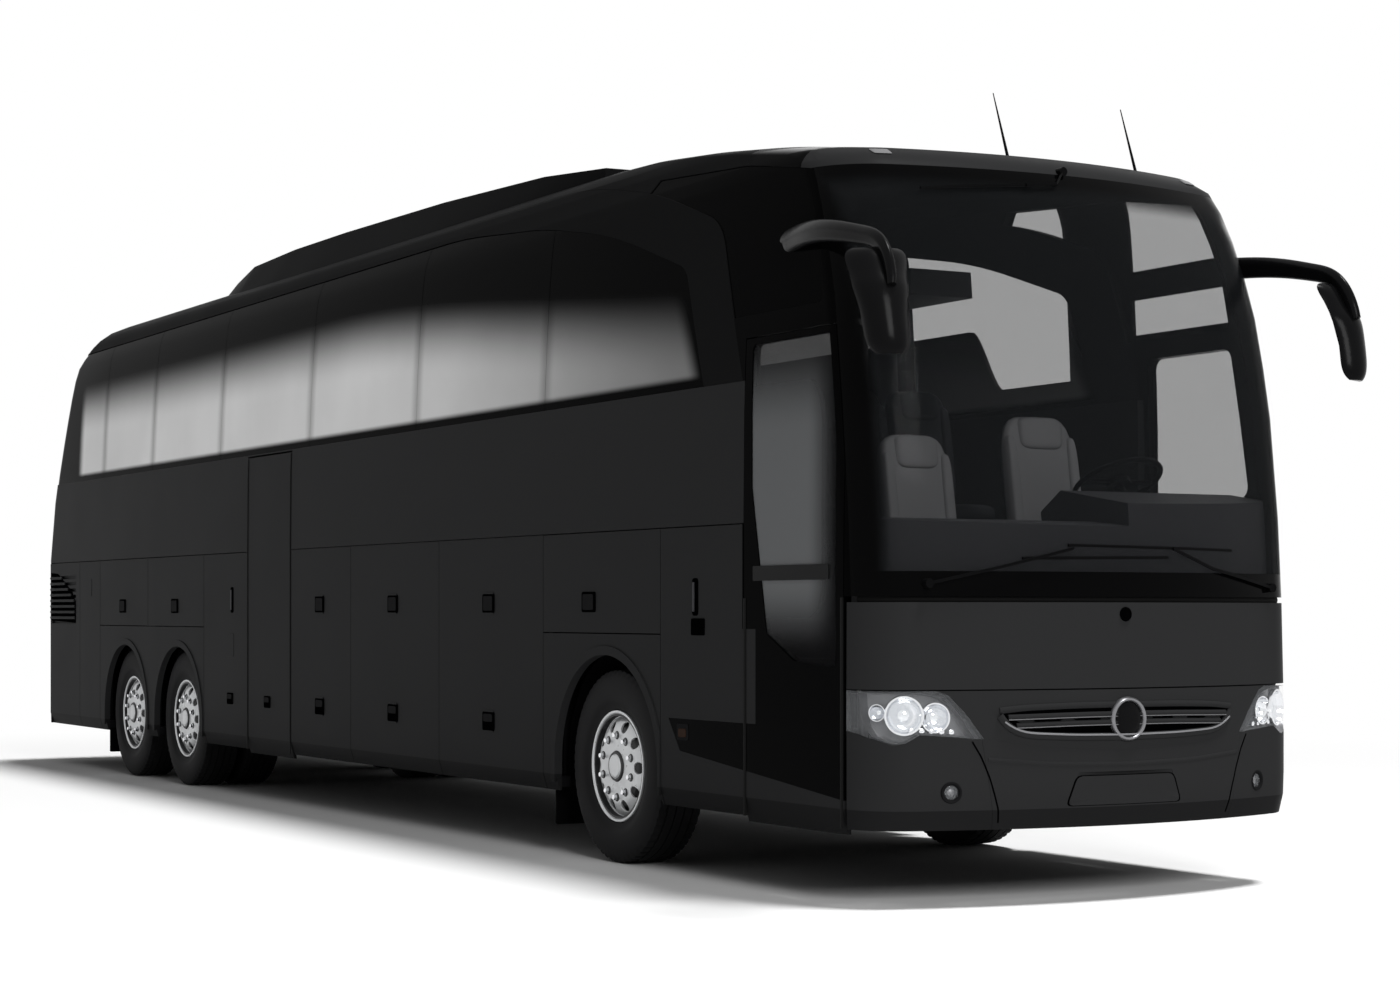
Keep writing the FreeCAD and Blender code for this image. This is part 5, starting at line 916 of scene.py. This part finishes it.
# Bumper: its joint and its crease as lines from the middle out, and the place for the number plate
JOINT_HALF, CREASE_LIFT, CREASE_HALF = (0.0045, 0.002), -0.001, (0.005, 0.011)
BUMPER_JOINT = ((0.81, 0.763), (0.768, 0.694), (0.729, 0.603), (0.7, 0.512), (0.683, 0.45), (0.672, 0.39))
BUMPER_CREASE = ((0.0, 0.646), (0.4, 0.654), (0.735, 0.68))
PLATE = ((0.335, 0.456), (0.283, 0.597), (-0.283, 0.597), (-0.335, 0.456))
PLATE_CORNER, PLATE_STEP = 0.03, 0.03
# Its rim and its panel: scale, move up, lift and edge
PLATE_RIM, PLATE_PANEL = ((1.02, 1.0), 0.0, 0.0012, 0.001), ((0.99, 0.955), 0.0235, 0.0032, 0.0015)
MOUTH_STEP, MOUTH_LIFT, MOUTH_EDGE = 0.05, 0.0015, 0.001


def nose_line(points, lift, count=48):
    """A smooth run of points over the nose, from one side to the other."""
    half = np.asarray(points, float)
    whole = np.concatenate([half[::-1] * (-1, 1), half[1:]]) if half[0][0] == 0 else half
    line = arc_line(whole, count)
    return on_nose(line[:, 0], line[:, 1], lift + line[:, 0] * 0)


def bar(line, rise, lift, deep, high):
    """A bar along a line of the nose, moved up by rise and out by lift."""
    return tube(nose_line(np.asarray(line) + (0, rise), lift), deep, high)


class COACH_OT_grille(bpy.types.Operator):
    """Build the grille's mouth, slats and lips, the bare round plate and the marks of the bumper"""
    bl_idname = "coach.grille"
    bl_label = "Grille"

    def execute(self, context):
        body = SKIN_BODY["grille_panel"]
        mouth = np.asarray(MOUTH)
        loop = np.concatenate([mouth, (mouth * (-1, 1))[-2:0:-1]])
        # Painted shade: the grille's mouth is a flat black plate in place of the shadowed hollow behind its
        # slats
        hollow = pad(dense(loop, MOUTH_STEP), MOUTH_LIFT, on_nose, MOUTH_EDGE)
        surface("grille_mouth_shade", [hollow], "black_and_painted_shade", body)
        lips = [bar(mouth[:4], *LIP_TOP), bar(mouth[:2:-1], *LIP_FOOT)]
        surface("grille_lips", lips, "charcoal_paint", body)
        surface("grille_bright", [bar(mouth[:3:-1], *LIP_BRIGHT)], "satin_metal", body)
        surface("grille_slats", [bar(line, *SLAT) for line in SLATS], "charcoal_paint", body)
        surface("grille_slat_edges", [bar(line, *SLAT_EDGE) for line in SLATS], "dull_metal", body)
        strips = [tube(nose_line([(x, z) for x in JOINT_X], -back, JOINT_COUNT), JOINT_DEEP, high)
                  for z, back, high in JOINT_STRIPS]
        surface("joint_strips", strips, "seal_rubber", body)
        for name, profile, material in (("round_plate_ring", ROUND_RING, "satin_metal"),
                                        ("round_plate", ROUND_DISC, "gloss_black")):
            surface(name, [turned(profile, 56, facing_front(0.0, ROUND_Z))], material, body, closed=False)
        body = SKIN_BODY["bumper_centre"]
        joints = [tube(nose_line(line, 0.0), *JOINT_HALF, 8, up=(0, 1, 0)) for line in both(BUMPER_JOINT)]
        surface("bumper_joints", joints, "black_and_painted_shade", body)
        fold = tube(nose_line(BUMPER_CREASE, CREASE_LIFT), *CREASE_HALF)
        surface("bumper_crease", [fold], "charcoal_paint", body)
        plate = dense(rounded(PLATE, PLATE_CORNER), PLATE_STEP)
        for name, (scale, rise, lift, edge), material in (("plate_rim", PLATE_RIM, "black_and_painted_shade"),
                                                          ("plate_panel", PLATE_PANEL, "charcoal_paint")):
            surface(name, [pad(plate * scale + (0, rise), lift, on_nose, edge)], material, body)
        lock = turned(LOCK, 28, facing_front(0.0, LOCK_Z))
        surface("panel_lock", [lock], "black_and_painted_shade", SKIN_BODY["front_flap"], closed=False)
        return {"FINISHED"}


# Latches on the right side: place behind the front axle, height and the node that carries each
LATCHES = ((2.93, 1.403, "flap_right_2"), (1.485, 1.403, "flap_right_1"), (0.19, 1.407, "side_skins"),
           (8.67, 1.4, "side_skins"), (7.31, 1.398, "side_skins"), (4.205, 0.712, "flap_right_3"),
           (2.93, 0.712, "flap_right_2"), (1.485, 0.712, "flap_right_1"), (5.23, 0.711, "middle_door"),
           (6.02, 0.713, "side_skins"), (4.205, 1.403, "flap_right_3"))
LATCH_SIZE, SMALL_LATCH = 0.132, 0.1
LATCH_WIDE, LATCH_HIGH = 1.2, 0.84
LATCH_LIFT, LATCH_EDGE, LID_LIFT = 0.0075, 0.003, 0.0105
# Upper latches are above this height; lids by share of the cup: width, move up and height
UPPER_Z = 1.0
LID_WIDE, UPPER_LID, LOWER_LID = 0.78, (0.0, 0.78), (0.18, 0.42)
# Plates on each side wall: piece, place behind the front axle, height, width, height, lift, finish and corner
SIDE_PLATES = (
    # The black slots and step boxes are painted shade in place of recesses
    ("slot_{}_0", -0.99, 1.429, 0.062, 0.19, 0.003, "black_and_painted_shade", 0.02),
    ("slot_bar_{}_0", -0.978, 1.429, 0.016, 0.15, 0.008, "soft_grey", 0.006),
    ("slot_{}_1", 5.98, 1.44, 0.062, 0.19, 0.003, "black_and_painted_shade", 0.02),
    ("slot_bar_{}_1", 5.992, 1.44, 0.016, 0.15, 0.008, "soft_grey", 0.006),
    ("step_box_{}", -1.02, 1.278, 0.135, 0.085, 0.006, "black_and_painted_shade", 0.01),
    ("filler_flap_{}", 6.01, 1.108, 0.13, 0.17, 0.0025, "charcoal_paint", 0.01),
    ("tail_flap_{}", 9.62, 1.56, 0.105, 0.15, 0.0025, "charcoal_paint", 0.01))
SWEEP_LAMP = (
    ("sweep_lamp_{}", -0.86, 0.742, 0.12, 0.085, 0.004, "lid_grey", 0.015),
    ("sweep_lens_{}", -0.86, 0.738, 0.08, 0.045, 0.007, "dark_amber", 0.012))
# Louvre: outline and slats, as places behind the front axle and heights
LOUVRE = ((10.04, 1.255), (10.04, 1.44), (10.16, 1.53), (10.6, 1.69), (10.83, 1.7), (10.83, 1.275))
LOUVRE_CORNER, LOUVRE_LIFT = 0.03, 0.002
LOUVRE_SLATS, LOUVRE_FOOT, LOUVRE_PITCH, SLAT_LIFT, SLAT_HALF = 8, 1.3, 0.05, 0.006, (0.006, 0.012)
LOUVRE_FRONT, LOUVRE_REAR, LOUVRE_BEND_Z, LOUVRE_SLOPE = 10.06, 10.82, 1.44, 1.9
# Seals down both edges of a door: node, foot, head and place of each edge
DOOR_SEALS = (("middle_door", 0.36, 2.455, 4.775, 5.645), ("front_door", 0.36, 1.42, -2.365, -1.485))
SEAL_LIFT, SEAL_HALF = 0.0015, (0.004, 0.013)
CROSSBAR = (AXLE_1 - 1.905, 1.54, 0.69, 0.072, 0.006)


def latch_grids(place, y, z, size):
    """A dark square cup, and the paler lid over it: most of an upper one, the top half of a lower one."""
    wide, high = size * LATCH_WIDE, size * LATCH_HIGH
    shift, share = UPPER_LID if z > UPPER_Z else LOWER_LID
    cup = pad(rectangle(y, z, wide, high), LATCH_LIFT, place, LATCH_EDGE)
    return cup, pad(rectangle(y, z + high * shift, wide * LID_WIDE, high * share), LID_LIFT, place)


def side_plates(rows, sign, side):
    """A rounded plate on one side wall for each row."""
    for name, rel, z, wide, high, lift, material, corner in rows:
        plate = pad(rectangle(AXLE_1 + rel, z, wide, high, corner), lift, on_side(sign))
        surface(name.format(side), [plate], material, SKIN_BODY["side_skins"])


class COACH_OT_side_trim(bpy.types.Operator):
    """Build the latches, slots, lids, lamps, louvres and door seals"""
    bl_idname = "coach.side_trim"
    bl_label = "Side trim"

    def execute(self, context):
        bodies = {}
        for rel, z, node in LATCHES:
            size = LATCH_SIZE if z > UPPER_Z or "flap" in node else SMALL_LATCH
            for sign, side in SIDES:
                twin = "side_skins" if node == "middle_door" and sign > 0 else node.replace("right", side)
                cups, lids = bodies.setdefault(SKIN_BODY[twin], ([], []))
                cup, lid = latch_grids(on_side(sign), AXLE_1 + rel, z, size)
                cups.append(cup)
                lids.append(lid)
        for body, (cups, lids) in bodies.items():
            surface("latch_cups_" + body, cups, "black_and_painted_shade", body)
            surface("latch_lids_" + body, lids, "lid_grey", body)
        for sign, side in SIDES:
            side_plates(SIDE_PLATES, sign, side)
            self.louvre(sign, side)
            side_plates(SWEEP_LAMP, sign, side)
        self.seals()
        return {"FINISHED"}

    def louvre(self, sign, side):
        """A flat black panel, painted shade for the hollow behind the slats, with slats that run up towards
        the tail.
        """
        body = SKIN_BODY["side_skins"]
        outline = rounded(np.array(LOUVRE) + (AXLE_1, 0), LOUVRE_CORNER)
        surface("louvre_" + side, [pad(outline, LOUVRE_LIFT, on_side(sign))], "black_and_painted_shade", body)
        slats = []
        for z in LOUVRE_FOOT + np.arange(LOUVRE_SLATS) * LOUVRE_PITCH:
            front = LOUVRE_FRONT + max(z - LOUVRE_BEND_Z, 0) * LOUVRE_SLOPE
            y = AXLE_1 + np.linspace(front, LOUVRE_REAR, 10)
            slats.append(tube(on_side(sign)(y, z, SLAT_LIFT), *SLAT_HALF, 8))
        surface("louvre_slats_" + side, slats, "charcoal_paint", body)

    def seals(self):
        """Soft strips down both edges of the two doors, and the bar across the front one."""
        for node, low, high, *edges in DOOR_SEALS:
            z = np.linspace(low, high, 24)
            lines = [on_side(-1)(AXLE_1 + rel, z, SEAL_LIFT) for rel in edges]
            strips = [tube(line, *SEAL_HALF, 8, up=(0, 1, 0)) for line in lines]
            surface("seals_" + node, strips, "seal_rubber", SKIN_BODY[node])
        crossbar = pad(rectangle(*CROSSBAR), SEAL_LIFT, on_side(-1))
        surface("door_crossbar", [crossbar], "gloss_black", SKIN_BODY["front_door"])


# Rear face of a mirror head: height, reach, place behind the front axle, half width and half depth
MIRROR_FACE = np.array([
    (2.535, 1.37, -2.911, 0.078, 0.0335), (2.64, 1.377, -2.893, 0.096, 0.042),
    (2.8, 1.375, -2.85, 0.116, 0.044), (2.9, 1.36, -2.797, 0.124, 0.039),
    (2.94, 1.352, -2.773, 0.116, 0.034)])
MIRROR_YAW = math.radians(24)
MIRROR_LIFT = 0.0015
MARKER_X, MARKER, MARKER_LIFT, MARKER_EDGE = 0.925, (3.53, 0.085, 0.03, 0.01), 0.01, 0.004
# Painted shade: the arch wall is a flat black sheet that darkens the rear arches
# Upright plates under the coach: place along it, distance from its middle, height, width, height and corner
ARCH_SHADE_WALL = (AXLE_3 + 0.82, 0.815, 0.775, 0.83, 0.62, 0.03)
MUD_FLAPS = ((AXLE_1 + 0.7, 1.075, 0.315, 0.3, 0.31, 0.012), (AXLE_3 + 0.6, 1.075, 0.325, 0.3, 0.31, 0.012))
# Painted shade: the tray is a flat black sheet that darkens the inside of the nose
TRAY = (0.0, NOSE + 0.42, 1.7, 0.36, 0.05)
TRAY_Z = 0.72
WALL_STEP, WALL_LIFT, FLAP_LIFT = 0.1, 0.004, 0.006


def upright(sign, spot, step, lift):
    """A plate that stands across the coach, on one side of its middle."""
    y, x, *size = spot
    outline = dense(rectangle(sign * x, *size), step) if step else rectangle(sign * x, *size)
    return pad(outline, lift, lambda u, v, out: np.stack([u, y + out, v], -1))


class COACH_OT_fittings(bpy.types.Operator):
    """Dress the mirrors and wipers, and build the roof markers, the mud flaps, and the dark walls and tray
    under the coach, flat black sheets that are painted shade
    """
    bl_idname = "coach.fittings"
    bl_label = "Fittings"

    def execute(self, context):
        smoothed("mirrors", "gloss_black", SMALL_BEVEL, MIRROR_FOLD)
        smoothed("wipers", "black_trim")
        z, x, y, half, depth = (column[:, None] for column in MIRROR_FACE.T)
        run, depth = np.linspace(-1, 1, 9) * half, depth + MIRROR_LIFT
        sine, cosine = math.sin(MIRROR_YAW), math.cos(MIRROR_YAW)
        x, y, z = x - sine * depth + cosine * run, AXLE_1 + y + cosine * depth + sine * run, z + run * 0
        grids = [(np.stack([sign * x, y, z], -1), False) for sign in (-1, 1)]
        surface("mirror_glass", grids, "mirror_glass", SKIN_BODY["mirrors"], closed=False)
        markers = [pad(rectangle(sign * MARKER_X, *MARKER), MARKER_LIFT, on_nose, MARKER_EDGE)
                   for sign in (-1, 1)]
        surface("roof_markers", markers, "light_trim", SKIN_BODY["screen_surround"])
        arch = SKIN_BODY["wheel_arches"]
        # Painted shade: flat black walls in the rear arches
        walls = [upright(sign, ARCH_SHADE_WALL, WALL_STEP, WALL_LIFT) for sign in (-1, 1)]
        surface("arch_shade_walls", walls, "black_and_painted_shade", arch)
        flaps = [upright(sign, spot, None, FLAP_LIFT) for sign in (-1, 1) for spot in MUD_FLAPS]
        surface("mud_flaps", flaps, "black_trim", arch)
        # Painted shade: a flat black tray inside the nose
        tray = dense(rectangle(*TRAY), WALL_STEP)
        tray = pad(tray, WALL_LIFT, lambda u, v, out: np.stack([u, v, TRAY_Z + out], -1))
        surface("nose_shade_tray", [tray], "black_and_painted_shade", SKIN_BODY["grille_panel"])
        return {"FINISHED"}


# Rows of passenger seats: first front edge, pitch and number; places across; where the stairs leave a gap
SEAT_FIRST, SEAT_PITCH, SEAT_ROWS = -0.33, 0.815, 13
SEAT_X = (0.468, 0.912)
PLINTH_X = 0.69
STAIR_SPAN = (4.056, 5.66)
SEAT_HIGH, SEAT_HALF = 1.13, 0.205
# Seats in the cab: place across, front edge, height of the back and half width
CREW = ((0.64, AXLE_1 - 1.882, 1.29, 0.225), (-0.23, AXLE_1 - 1.988, 1.16, SEAT_HALF))
LEAN = math.radians(9)
CUSHION_Z, CUSHION_Y, CUSHION_HALF = 0.365, 0.235, (0.225, 0.064)
BACK_Y, BACK_GAP, BACK_TRIM, BACK_THIN = 0.565, 0.06, 0.1, 0.048
HEAD_DROP, HEAD_FRONT, HEAD_WIDE, HEAD_HALF = 0.11, 0.03, 0.62, (0.045, 0.085)
ROLL_IN, ROLL_FRONT, ROLL_DROP, ROLL_HALF, ROLL_TALL = 0.03, 0.035, 0.04, (0.03, 0.04), 0.84
PLINTH = ((0.001, 0.0), (0.001, 0.13), (0.021, 0.12), (0.281, 0.1), (0.311, 0.14), (0.311, 0.0))
PLINTH_Y = 0.22


def seat_grids(x, y, floor, height, half=SEAT_HALF):
    """Cushion, back, head rest and two side rolls of one seat."""
    base, top = floor + CUSHION_Z, floor + height
    middle = (base + BACK_GAP + top) / 2
    tall = (top - base - BACK_TRIM) / 2
    back_y, head = y + BACK_Y, top - HEAD_DROP
    grids = [pillow((x, y + CUSHION_Y, base), (half, *CUSHION_HALF)),
             pillow((x, back_y, middle), (half, BACK_THIN, tall), LEAN),
             pillow((x, back_y - HEAD_FRONT + math.tan(LEAN) * (head - middle), head),
                    (half * HEAD_WIDE, *HEAD_HALF), LEAN)]
    return grids + [pillow((x + side * (half - ROLL_IN), back_y - ROLL_FRONT, middle - ROLL_DROP),
                           (*ROLL_HALF, tall * ROLL_TALL), LEAN) for side in (-1, 1)]


class COACH_OT_seats(bpy.types.Operator):
    """Build the stuffed seats on their plinths"""
    bl_idname = "coach.seats"
    bl_label = "Seats"

    def execute(self, context):
        body = SKIN_BODY["seats"]
        fronts = SEAT_FIRST + SEAT_PITCH * np.arange(SEAT_ROWS)
        pairs = [(sign, AXLE_1 + rel) for rel in fronts for sign in (-1, 1)
                 if sign > 0 or not STAIR_SPAN[0] < rel < STAIR_SPAN[1]]
        rows = [grid for sign, y in pairs for x in SEAT_X
                for grid in seat_grids(sign * x, y, SALOON_FLOOR_Z, SEAT_HIGH)]
        passengers = surface("passenger_seats", rows, "seat_weave", body, SEAT_FOLD)
        crew = [grid for x, y, high, half in CREW for grid in seat_grids(x, y, CAB_FLOOR_Z, high, half)]
        cab = surface("cab_seats", crew, "crew_weave", body, SEAT_FOLD)
        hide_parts("seats")
        spots = [(sign * PLINTH_X, y, SALOON_FLOOR_Z) for sign, y in pairs]
        spots += [(x, y, CAB_FLOOR_Z) for x, y, *size in CREW]
        plinths = [turned(PLINTH, 12, lambda d, u, v: np.stack([x + u, y + PLINTH_Y + v, floor + d], -1))
                   for x, y, floor in spots]
        surface("seat_plinths", plinths, "black_trim", body)
        return {"FINISHED"}


# Plates on the tail: piece, distance from its middle, height, width, height, corner, step, lift, finish, node
TAIL_PLATES = (
    ("rear_indicators", 1.1, 1.34, 0.15, 0.13, 0.02, 0.02, 0.004, "amber_lens", "tail_lamps"),
    ("reversing_lamps", 1.1, 1.0, 0.15, 0.12, 0.02, 0.02, 0.004, "white_lens", "tail_lamps"),
    ("rear_reflectors", 0.92, 0.6, 0.16, 0.05, 0.012, 0.03, 0.006, "red_lens", "tail_lamps"),
    ("plate_holder", 0.0, 0.6, 0.6, 0.17, 0.015, 0.05, 0.004, "lid_grey", "rear_bumper"),
    ("bare_plate", 0.0, 0.6, 0.52, 0.11, 0.01, 0.05, 0.007, "white_lens", "rear_bumper"))


class COACH_OT_rear(bpy.types.Operator):
    """Build the tail lamps, plate and reflectors"""
    bl_idname = "coach.rear"
    bl_label = "Rear"

    def execute(self, context):
        smoothed("tail_lamps", "red_lens", SMALL_BEVEL)
        for name, x, z, wide, high, corner, step, lift, material, node in TAIL_PLATES:
            plates = [pad(dense(rectangle(sign * x, z, wide, high, corner), step), lift, on_tail)
                      for sign in ((-1, 1) if x else (1,))]
            surface(name, plates, material, SKIN_BODY[node])
        return {"FINISHED"}


STEPS = (COACH_OT_finishes, COACH_OT_stage, COACH_OT_shell, COACH_OT_glazing, COACH_OT_wheels,
         COACH_OT_front_lamps, COACH_OT_grille, COACH_OT_side_trim, COACH_OT_fittings, COACH_OT_seats,
         COACH_OT_rear)


class COACH_PT_pieces(bpy.types.Panel):
    """Lists the coach's sizes, colours and steps"""
    bl_idname = "COACH_PT_pieces"
    bl_label = "Touring coach"
    bl_space_type = "VIEW_3D"
    bl_region_type = "UI"
    bl_category = "Coach"

    def draw(self, context):
        for group in (context.scene.coach_colours, context.scene.coach_sizes):
            for key in group.__annotations__:
                self.layout.prop(group, key)
        for step in STEPS:
            self.layout.operator(step.bl_idname)


CLASSES = (CoachColours, CoachSizes, *STEPS, COACH_PT_pieces)


def register():
    for item in CLASSES:
        bpy.utils.register_class(item)
    bpy.types.Scene.coach_colours = PointerProperty(type=CoachColours)
    bpy.types.Scene.coach_sizes = PointerProperty(type=CoachSizes)


def unregister():
    del bpy.types.Scene.coach_colours, bpy.types.Scene.coach_sizes
    for item in reversed(CLASSES):
        bpy.utils.unregister_class(item)


def main():
    register()
    for step in STEPS:
        getattr(bpy.ops.coach, step.bl_idname.split(".")[1])()


if __name__ == "__main__":
    main()
